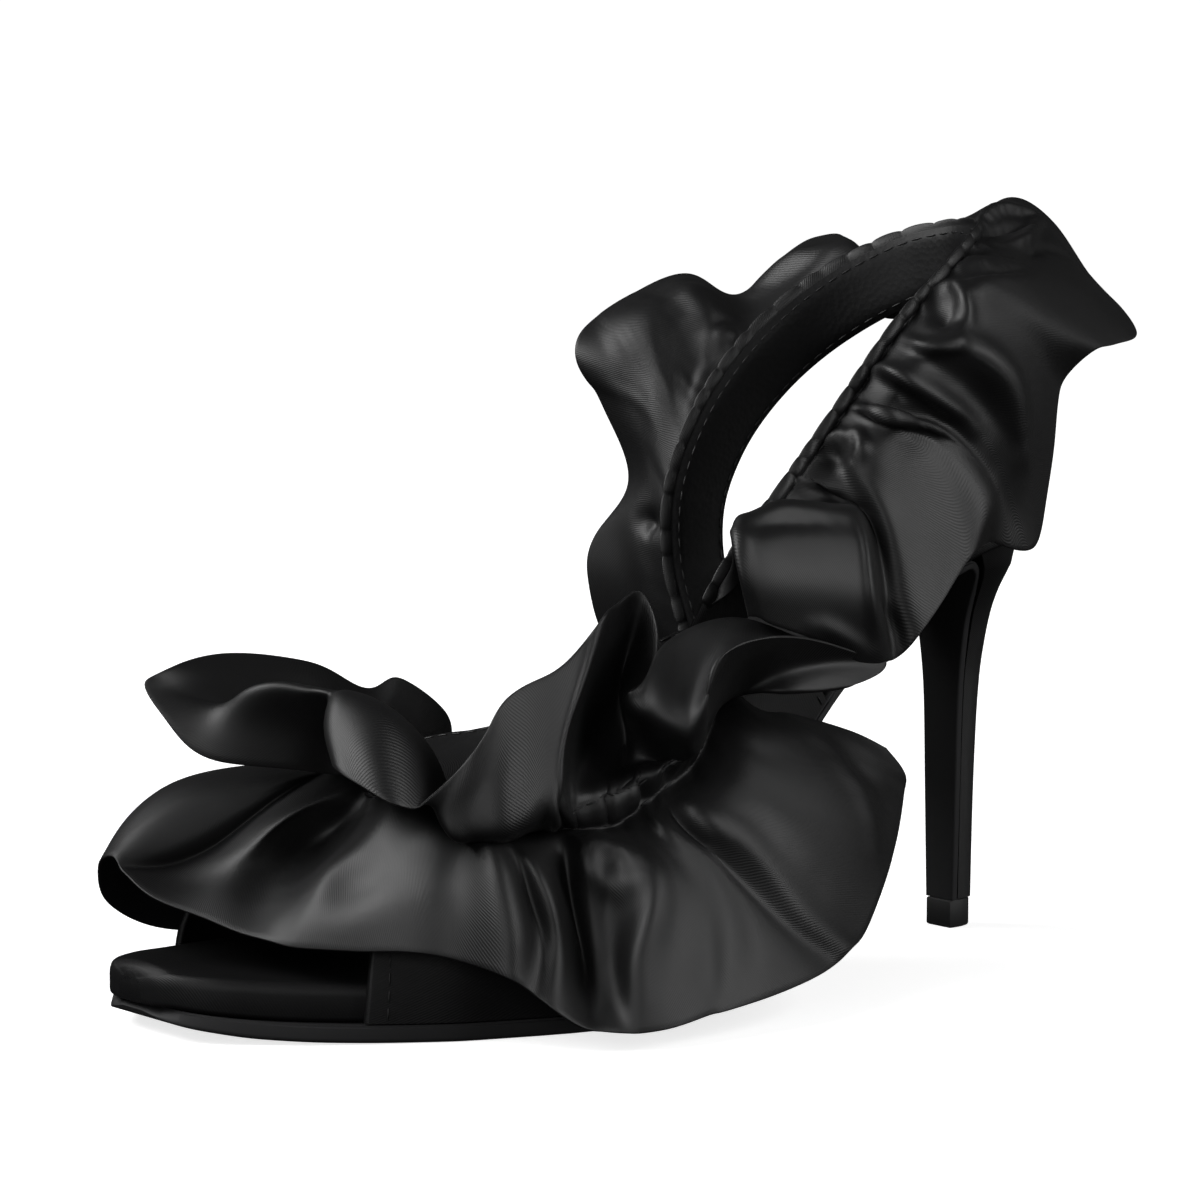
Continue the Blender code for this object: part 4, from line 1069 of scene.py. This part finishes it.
def sew(name, lines):
    """Rows of stitches along lines of points, each with its own up direction."""
    shape, shape_faces = STITCH
    points, faces = [], []
    for line, up in lines:
        run = run_along(line)
        for start in np.arange(FIRST_STITCH, run[-1] - STITCH_LENGTH, STITCH_STEP):
            begin = line_points(start, run, line)
            end = line_points(start + STITCH_LENGTH, run, line)
            row = int(np.searchsorted(run, start))
            ahead = unit(end - begin)
            side = unit(np.cross(up[min(row, len(up) - 1)], ahead))
            over = np.cross(ahead, side)
            size = np.array((STITCH_LENGTH, THREAD, THREAD))
            turned = (shape * size) @ np.stack((ahead, side, over))
            base = len(points) * len(shape)
            points.append(turned + 0.5 * (begin + end))
            faces += [tuple(base + v for v in face) for face in shape_faces]
    return finish_piece(mesh_piece(name, np.concatenate(points), faces), THREAD_FINISH)


# Ruffles

def vamp_seam(at):
    """Gathering seam just off the vamp, by distance from its medial end."""
    along, around = columns(VAMP_SEAM_ROWS)
    rows = np.linspace(0.0, 1.0, len(along))
    fine = np.linspace(0.0, 1.0, 600)
    line = last_point(smooth(rows, along, fine, False), smooth(rows, around, fine, False))
    run = run_along(line)
    seam = line_points(np.asarray(at) / SEAM_RUN * run[-1], run, line)
    return seam + unit(seam - FOOT_MIDDLE) * SEAM_LIFT


def sling_seam(at):
    """Gathering seam along the strap, by distance from its lateral end, with the strap's up and facing."""
    run, middle, outward, upward = strap_frame(600)
    below = SEAM_BELOW_TOP + (FAR_SEAM_BELOW_TOP - SEAM_BELOW_TOP) * far_half(run / run[-1])
    line = middle + upward * (0.5 * STRAP_WIDTH - below)[:, None]
    line = line + outward * (0.5 * STRAP_WALL + SEWN_OFF)
    place = (SLING_START + (1.0 - SLING_START) * np.asarray(at) / SLING_RUN) * run[-1]
    seam, rise, facing = (line_points(place, run, v) for v in (line, upward, outward))
    return seam, unit(rise), unit(facing)


def fold_points(rows, at):
    """The table's points across the cloth, at each place."""
    table = columns(rows)
    return [
        np.stack([smooth(table[0], table[first + k], at, False) for k in range(3)], axis=1)
        for first in range(1, len(table), 3)
    ]


def fold_surface(rows, seam, at, share):
    """Cloth from the seam through the table's five points to the hem, evenly spaced across."""
    across = np.stack([seam] + fold_points(rows, at), axis=1)
    grid = np.empty((len(at), len(share), 3))
    for i, knots in enumerate(across):
        run = run_along(knots)
        for k in range(3):
            grid[i, :, k] = smooth(run, knots[:, k], share * run[-1], False)
    return grid


def relax(grid, rounds):
    """Evens out the cloth's curvature and keeps its edges."""
    for _ in range(rounds):
        mean = grid.copy()
        mean[1:-1] = 0.5 * mean[1:-1] + 0.25 * (grid[2:] + grid[:-2])
        grid = mean.copy()
        grid[:, 1:-1] = 0.5 * mean[:, 1:-1] + 0.25 * (mean[:, 2:] + mean[:, :-2])
    return grid


def spread_places(tables, run, count):
    """Places along a seam, closer where the hem turns fast."""
    at = np.linspace(0.0, run, FINE_STEPS)
    speed = np.full(len(at), 1.0)
    for rows in tables:
        for points in fold_points(rows, at)[1:]:
            turning = np.linalg.norm(np.gradient(points, axis=0), axis=1) * FINE_STEPS / run
            speed = np.maximum(speed, turning)
    total = add_up(0.5 * (speed[1:] + speed[:-1]))
    return np.interp(np.linspace(0.0, total[-1], count), total, at)


def gathers(at, reach, seed, step, height):
    """Small radial puckers by the seam: heights at each place and distance across."""
    rng = np.random.default_rng(seed)
    lift = np.zeros((len(at), reach.shape[1]))
    place = 0.0
    while place < at[-1]:
        gap = step * rng.uniform(0.6, 1.5)
        place += gap
        peak = rng.uniform(*GATHER_REACH)
        high = height * rng.uniform(0.4, 1.0)
        ridge = np.exp(-(((at - place) / (0.42 * gap)) ** 2))
        lift += high * ridge[:, None] * (reach / peak) * np.exp(1.0 - reach / peak)
    return lift


def puff_places(at, seed):
    """Count of puffs up to each place along a gathered edge, the puffs of uneven length."""
    rng = np.random.default_rng(seed)
    ends = add_up(PUFF * rng.uniform(0.65, 1.35, int(at[-1] / PUFF * 1.6)))
    return np.interp(at, ends, np.arange(len(ends)))


def press(grid, at, share, creases):
    """Soft troughs and ridges laid over the cloth, along its own face."""
    out = grid_normals(grid)
    lift = np.zeros(grid.shape[:2])
    steps = np.linspace(0.0, 1.0, 25)
    bell = np.sin(math.pi * np.clip(steps, 0.1, 0.9)) ** 0.7
    start, middle, end = (
        (2.0 * steps - 1.0) * (steps - 1.0), 4.0 * steps * (1.0 - steps), steps * (2.0 * steps - 1.0),
    )
    for place_a, reach_a, place_b, reach_b, place_c, reach_c, width, height in creases:
        place = start * place_a + middle * place_b + end * place_c
        reach = start * reach_a + middle * reach_b + end * reach_c
        line_row = np.interp(place, at, np.arange(len(at)))
        line_col = np.interp(reach, share, np.arange(len(share)))
        line = grid[np.rint(line_row).astype(int), np.rint(line_col).astype(int)]
        near = (at > place.min() - CREASE_SPREAD) & (at < place.max() + CREASE_SPREAD)
        gap = np.linalg.norm(grid[near][:, :, None] - line[None, None], axis=3)
        closest = gap.argmin(axis=2)
        fall = np.exp(-((gap.min(axis=2) / width) ** 2))
        lift[near] += height * bell[closest] * fall
    return grid + out * lift[:, :, None]


def folded_cloth(rows, creases, seam, at, share):
    """Folds of a table with their creases pressed in."""
    folds = relax(fold_surface(rows, seam, at, share), FOLD_ROUNDS)
    return relax(press(folds, at, share, creases), CREASE_ROUNDS)


def cloth_places(grid, seam_column):
    """Flat cloth coordinates: along the hem, and across from the seam."""
    u = add_up(np.linalg.norm(np.diff(grid, axis=0), axis=2).max(axis=1))
    v = across_reach(grid)
    v = v - v[:, seam_column:seam_column + 1]
    return np.stack((np.repeat(u[:, None], grid.shape[1], axis=1), v), axis=-1)


def cloth_sheet(name, grid, seam_column):
    """Closed sheet of cloth, its free edges turned round as a folded hem."""
    out = grid_normals(grid)
    rows, cols = grid.shape[:2]
    half = 0.5 * CLOTH
    rims = []
    for edge, near, side in ((-1, -2, 1.0), (0, 1, -1.0)):
        away = unit(grid[:, edge] - grid[:, near])
        rim = [
            grid[:, edge] + half * (side * math.cos(t) * out[:, edge] + math.sin(t) * away)
            for t in HEM_TURNS
        ]
        rims.append(np.stack(rim, axis=1))
    points = np.concatenate((grid + out * half, rims[0], (grid - out * half)[:, ::-1], rims[1]), axis=1)
    places = cloth_places(grid, seam_column)
    hems = [np.repeat(places[:, column], len(HEM_TURNS), axis=1) for column in (slice(-1, None), slice(0, 1))]
    flat = np.concatenate((places, hems[0], places[:, ::-1], hems[1]), axis=1)
    ring = points.shape[1]
    faces = []
    for i in range(rows - 1):
        for j in range(ring):
            k = (j + 1) % ring
            faces.append((i * ring + j, i * ring + k, (i + 1) * ring + k, (i + 1) * ring + j))
    ends = [(j, j + 1, 2 * cols + 1 - j, 2 * cols + 2 - j) for j in range(cols - 1)]
    ends += [tuple(range(cols - 1, cols + 4)), tuple(range(2 * cols + 2, ring)) + (0,)]
    faces += [tuple(reversed(end)) for end in ends]
    faces += [tuple((rows - 1) * ring + v for v in end) for end in ends]
    piece = mesh_piece(name, points.reshape(-1, 3), faces)
    set_cloth_map(piece.data, flat.reshape(-1, 2))
    bpy.ops.object.select_all(action="DESELECT")
    piece.select_set(True)
    bpy.context.view_layer.objects.active = piece
    bpy.ops.object.mode_set(mode="EDIT")
    bpy.ops.mesh.select_all(action="SELECT")
    bpy.ops.mesh.normals_make_consistent(inside=False)
    bpy.ops.object.mode_set(mode="OBJECT")
    return piece


def build_vamp_ruffle():
    """Standing and hanging edge on one seam; gives the places, the standing edge and the seam."""
    at = spread_places((FRILL_ROWS, SKIRT_ROWS), SEAM_RUN, 460)
    seam = vamp_seam(at)
    share = np.linspace(0.0, 1.0, 40)
    strength = np.interp(at, *columns(GATHER_ROWS))[:, None]
    halves = []
    edges = ((FRILL_ROWS, FRILL_CREASES, FRILL_SEED), (SKIRT_ROWS, SKIRT_CREASES, SKIRT_SEED))
    for rows, creases, seed in edges:
        half = folded_cloth(rows, creases, seam, at, share)
        lift = strength * gathers(at, across_reach(half), seed, VAMP_GATHER_STEP, VAMP_GATHER_HEIGHT)
        halves.append(half + grid_normals(half) * lift[:, :, None])
    frill, skirt = halves
    grid = np.concatenate((frill[:, :0:-1], skirt), axis=1)
    piece = cloth_sheet("vamp_ruffle_satin", grid, len(share) - 1)
    finish_piece(piece, SATIN, "vamp_ruffle")
    return at, frill, seam


def build_sling_ruffle():
    """Wide edge outside the sling, puffed heading above its seam; gives the seam and the strap's facing."""
    at = spread_places((SLING_ROWS,), SLING_RUN, 560)
    seam, rise, outward = sling_seam(at)
    far = far_half(at / SLING_RUN)
    wide = folded_cloth(SLING_ROWS, SLING_CREASES, seam, at, np.linspace(0.0, 1.0, 60))
    lift = gathers(at, across_reach(wide), SLING_SEED, SLING_GATHER_STEP, SLING_GATHER_HEIGHT)
    lift = lift * (1.0 - FAR_GATHER_LESS * far)[:, None]
    wide = wide + grid_normals(wide) * lift[:, :, None]
    scallop = np.abs(np.sin(math.pi * puff_places(at, PUFF_SEED))) ** 0.35
    swell = np.sin(math.pi * PUFF_STEPS) * 0.9 + 0.25
    tall = (HEADING + FAR_HEADING_EXTRA * far) * (0.8 + 0.2 * scallop)
    bulge = scallop[:, None] * swell[None, :] * (1.0 - (1.0 + FAR_PUFF_DEPTH) * far)[:, None]
    lean = (FAR_LEAN * tall * far)[:, None] * PUFF_STEPS[None, :]
    heading = seam[:, None] + rise[:, None] * tall[:, None, None] * PUFF_STEPS[None, :, None]
    heading = heading + outward[:, None] * (bulge + lean)[:, :, None]
    grid = np.concatenate((heading, wide), axis=1)
    piece = cloth_sheet("sling_ruffle_satin", grid, len(PUFF_STEPS))
    finish_piece(piece, SATIN, "sling_ruffle")
    return seam, outward


def surface_line(at, half, rows):
    """Points and facing along a row of places and reaches on the cloth."""
    place, reach = columns(rows)
    run = np.linspace(place[0], place[-1], 60)
    row = np.rint(np.interp(run, at, np.arange(len(at)))).astype(int)
    deep = np.interp(run, place, reach)
    across = across_reach(half)
    col = np.array([int(np.searchsorted(across[i], d)) for i, d in zip(row, deep)])
    out = grid_normals(half)[row, col]
    out = out * np.sign(np.sum(out * (half[row, col] - FOOT_MIDDLE), axis=1, keepdims=True))
    return half[row, col] + out * GATHER_STITCH_LIFT, out


# Stage

def build_backdrop():
    """White cove with a pale floor.

    Both are hidden from reflections and bounced light, so that the black satin reflects the softboxes alone.
    """
    white = linear("#ffffff")
    bpy.ops.object.select_all(action="DESELECT")
    bpy.ops.mesh.primitive_circle_add(vertices=96, radius=COVE, fill_type="NGON")
    floor = bpy.context.object
    floor.name = "floor"
    bpy.ops.object.select_all(action="DESELECT")
    bpy.ops.mesh.primitive_uv_sphere_add(segments=64, ring_count=32, radius=COVE)
    cove = bpy.context.object
    cove.name = "cove"
    glowing_paper, shader = new_material("pale_paper_painted_glow", "#f2f2f2", 0.9, Specular_IOR_Level=0.0, Emission_Color=white)
    # The floor glows with painted light: dimmer near the shoe, where the softboxes' contact shadow shows, and
    # rising to full white further out, so that the distant floor reads white.
    spot = add_node(glowing_paper, "ShaderNodeTexCoord")
    far = add_node(glowing_paper, "ShaderNodeVectorMath", {}, {0: spot.outputs["Object"]}, operation="LENGTH")
    painted_glow = add_node(
        glowing_paper, "ShaderNodeMapRange",
        {"From Min": FADE_START, "From Max": FADE_END, "To Min": FLOOR_GLOW, "To Max": 1.0},
        {"Value": far.outputs["Value"]},
    )
    feed(glowing_paper, shader, Emission_Strength=painted_glow.outputs["Result"])
    floor.data.materials.append(glowing_paper)
    glow, _ = new_material("lit_cove", "#ffffff", 1.0, Emission_Color=white, Emission_Strength=1.0)
    cove.data.materials.append(glow)
    for piece in (floor, cove):
        piece.visible_glossy = False
        piece.visible_diffuse = False
    cove.visible_shadow = False


def build_lights():
    """Four softboxes and a little fill light."""
    scene = bpy.context.scene
    scene.view_settings.view_transform = "Standard"
    world = bpy.data.worlds.new("studio")
    world.use_nodes = True
    fill = world.node_tree.nodes["Background"]
    fill.inputs["Color"].default_value = linear("#ffffff")
    fill.inputs["Strength"].default_value = FILL_LIGHT
    scene.world = world
    for name, place, size, brightness in LIGHTS:
        data = bpy.data.lights.new(name, "AREA")
        data.shape = "RECTANGLE"
        data.size, data.size_y = size
        data.energy = brightness * math.pi * size[0] * size[1]
        light = bpy.data.objects.new(name, data)
        light.location = place
        light.rotation_mode = "QUATERNION"
        light.rotation_quaternion = (Vector(place) - Vector(LIT_SPOT)).to_track_quat("Z", "Y")
        light.visible_camera = False
        scene.collection.objects.link(light)


def build_camera():
    """Camera at the photograph's angle."""
    turn, rise = math.radians(CAMERA_TURN), math.radians(CAMERA_RISE)
    back = Vector((math.sin(turn) * math.cos(rise), -math.cos(turn) * math.cos(rise), math.sin(rise)))
    lens = bpy.data.cameras.new("camera")
    lens.lens = CAMERA_LENS
    lens.sensor_width = 36.0
    camera = bpy.data.objects.new("camera", lens)
    camera.location = CAMERA_PLACE
    camera.rotation_mode = "QUATERNION"
    camera.rotation_quaternion = back.to_track_quat("Z", "Y")
    bpy.context.scene.collection.objects.link(camera)
    bpy.context.scene.camera = camera


build_backdrop()
build_lights()
build_camera()
build_outsole()
build_insole()
build_heel()
build_heel_tip()
vamp_edges = build_vamp()
lining_lines, strap_out = build_strap()
vamp_at, frill, vamp_line = build_vamp_ruffle()
sling_line, sling_out = build_sling_ruffle()

vamp_out = unit(vamp_line - FOOT_MIDDLE)
sew("vamp_stitches", [(vamp_line + vamp_out * SEAM_STITCH_LIFT, vamp_out)])
sew("gather_stitches", [surface_line(vamp_at, frill, SECOND_GATHER_ROWS)])
sew("vamp_edge_stitches", [(line + out * EDGE_STITCH_LIFT, out) for line, out in vamp_edges])
sew("sling_stitches", [(sling_line + sling_out * SEAM_STITCH_LIFT, sling_out)])
sew("lining_stitches", [(line, -strap_out) for line in lining_lines])
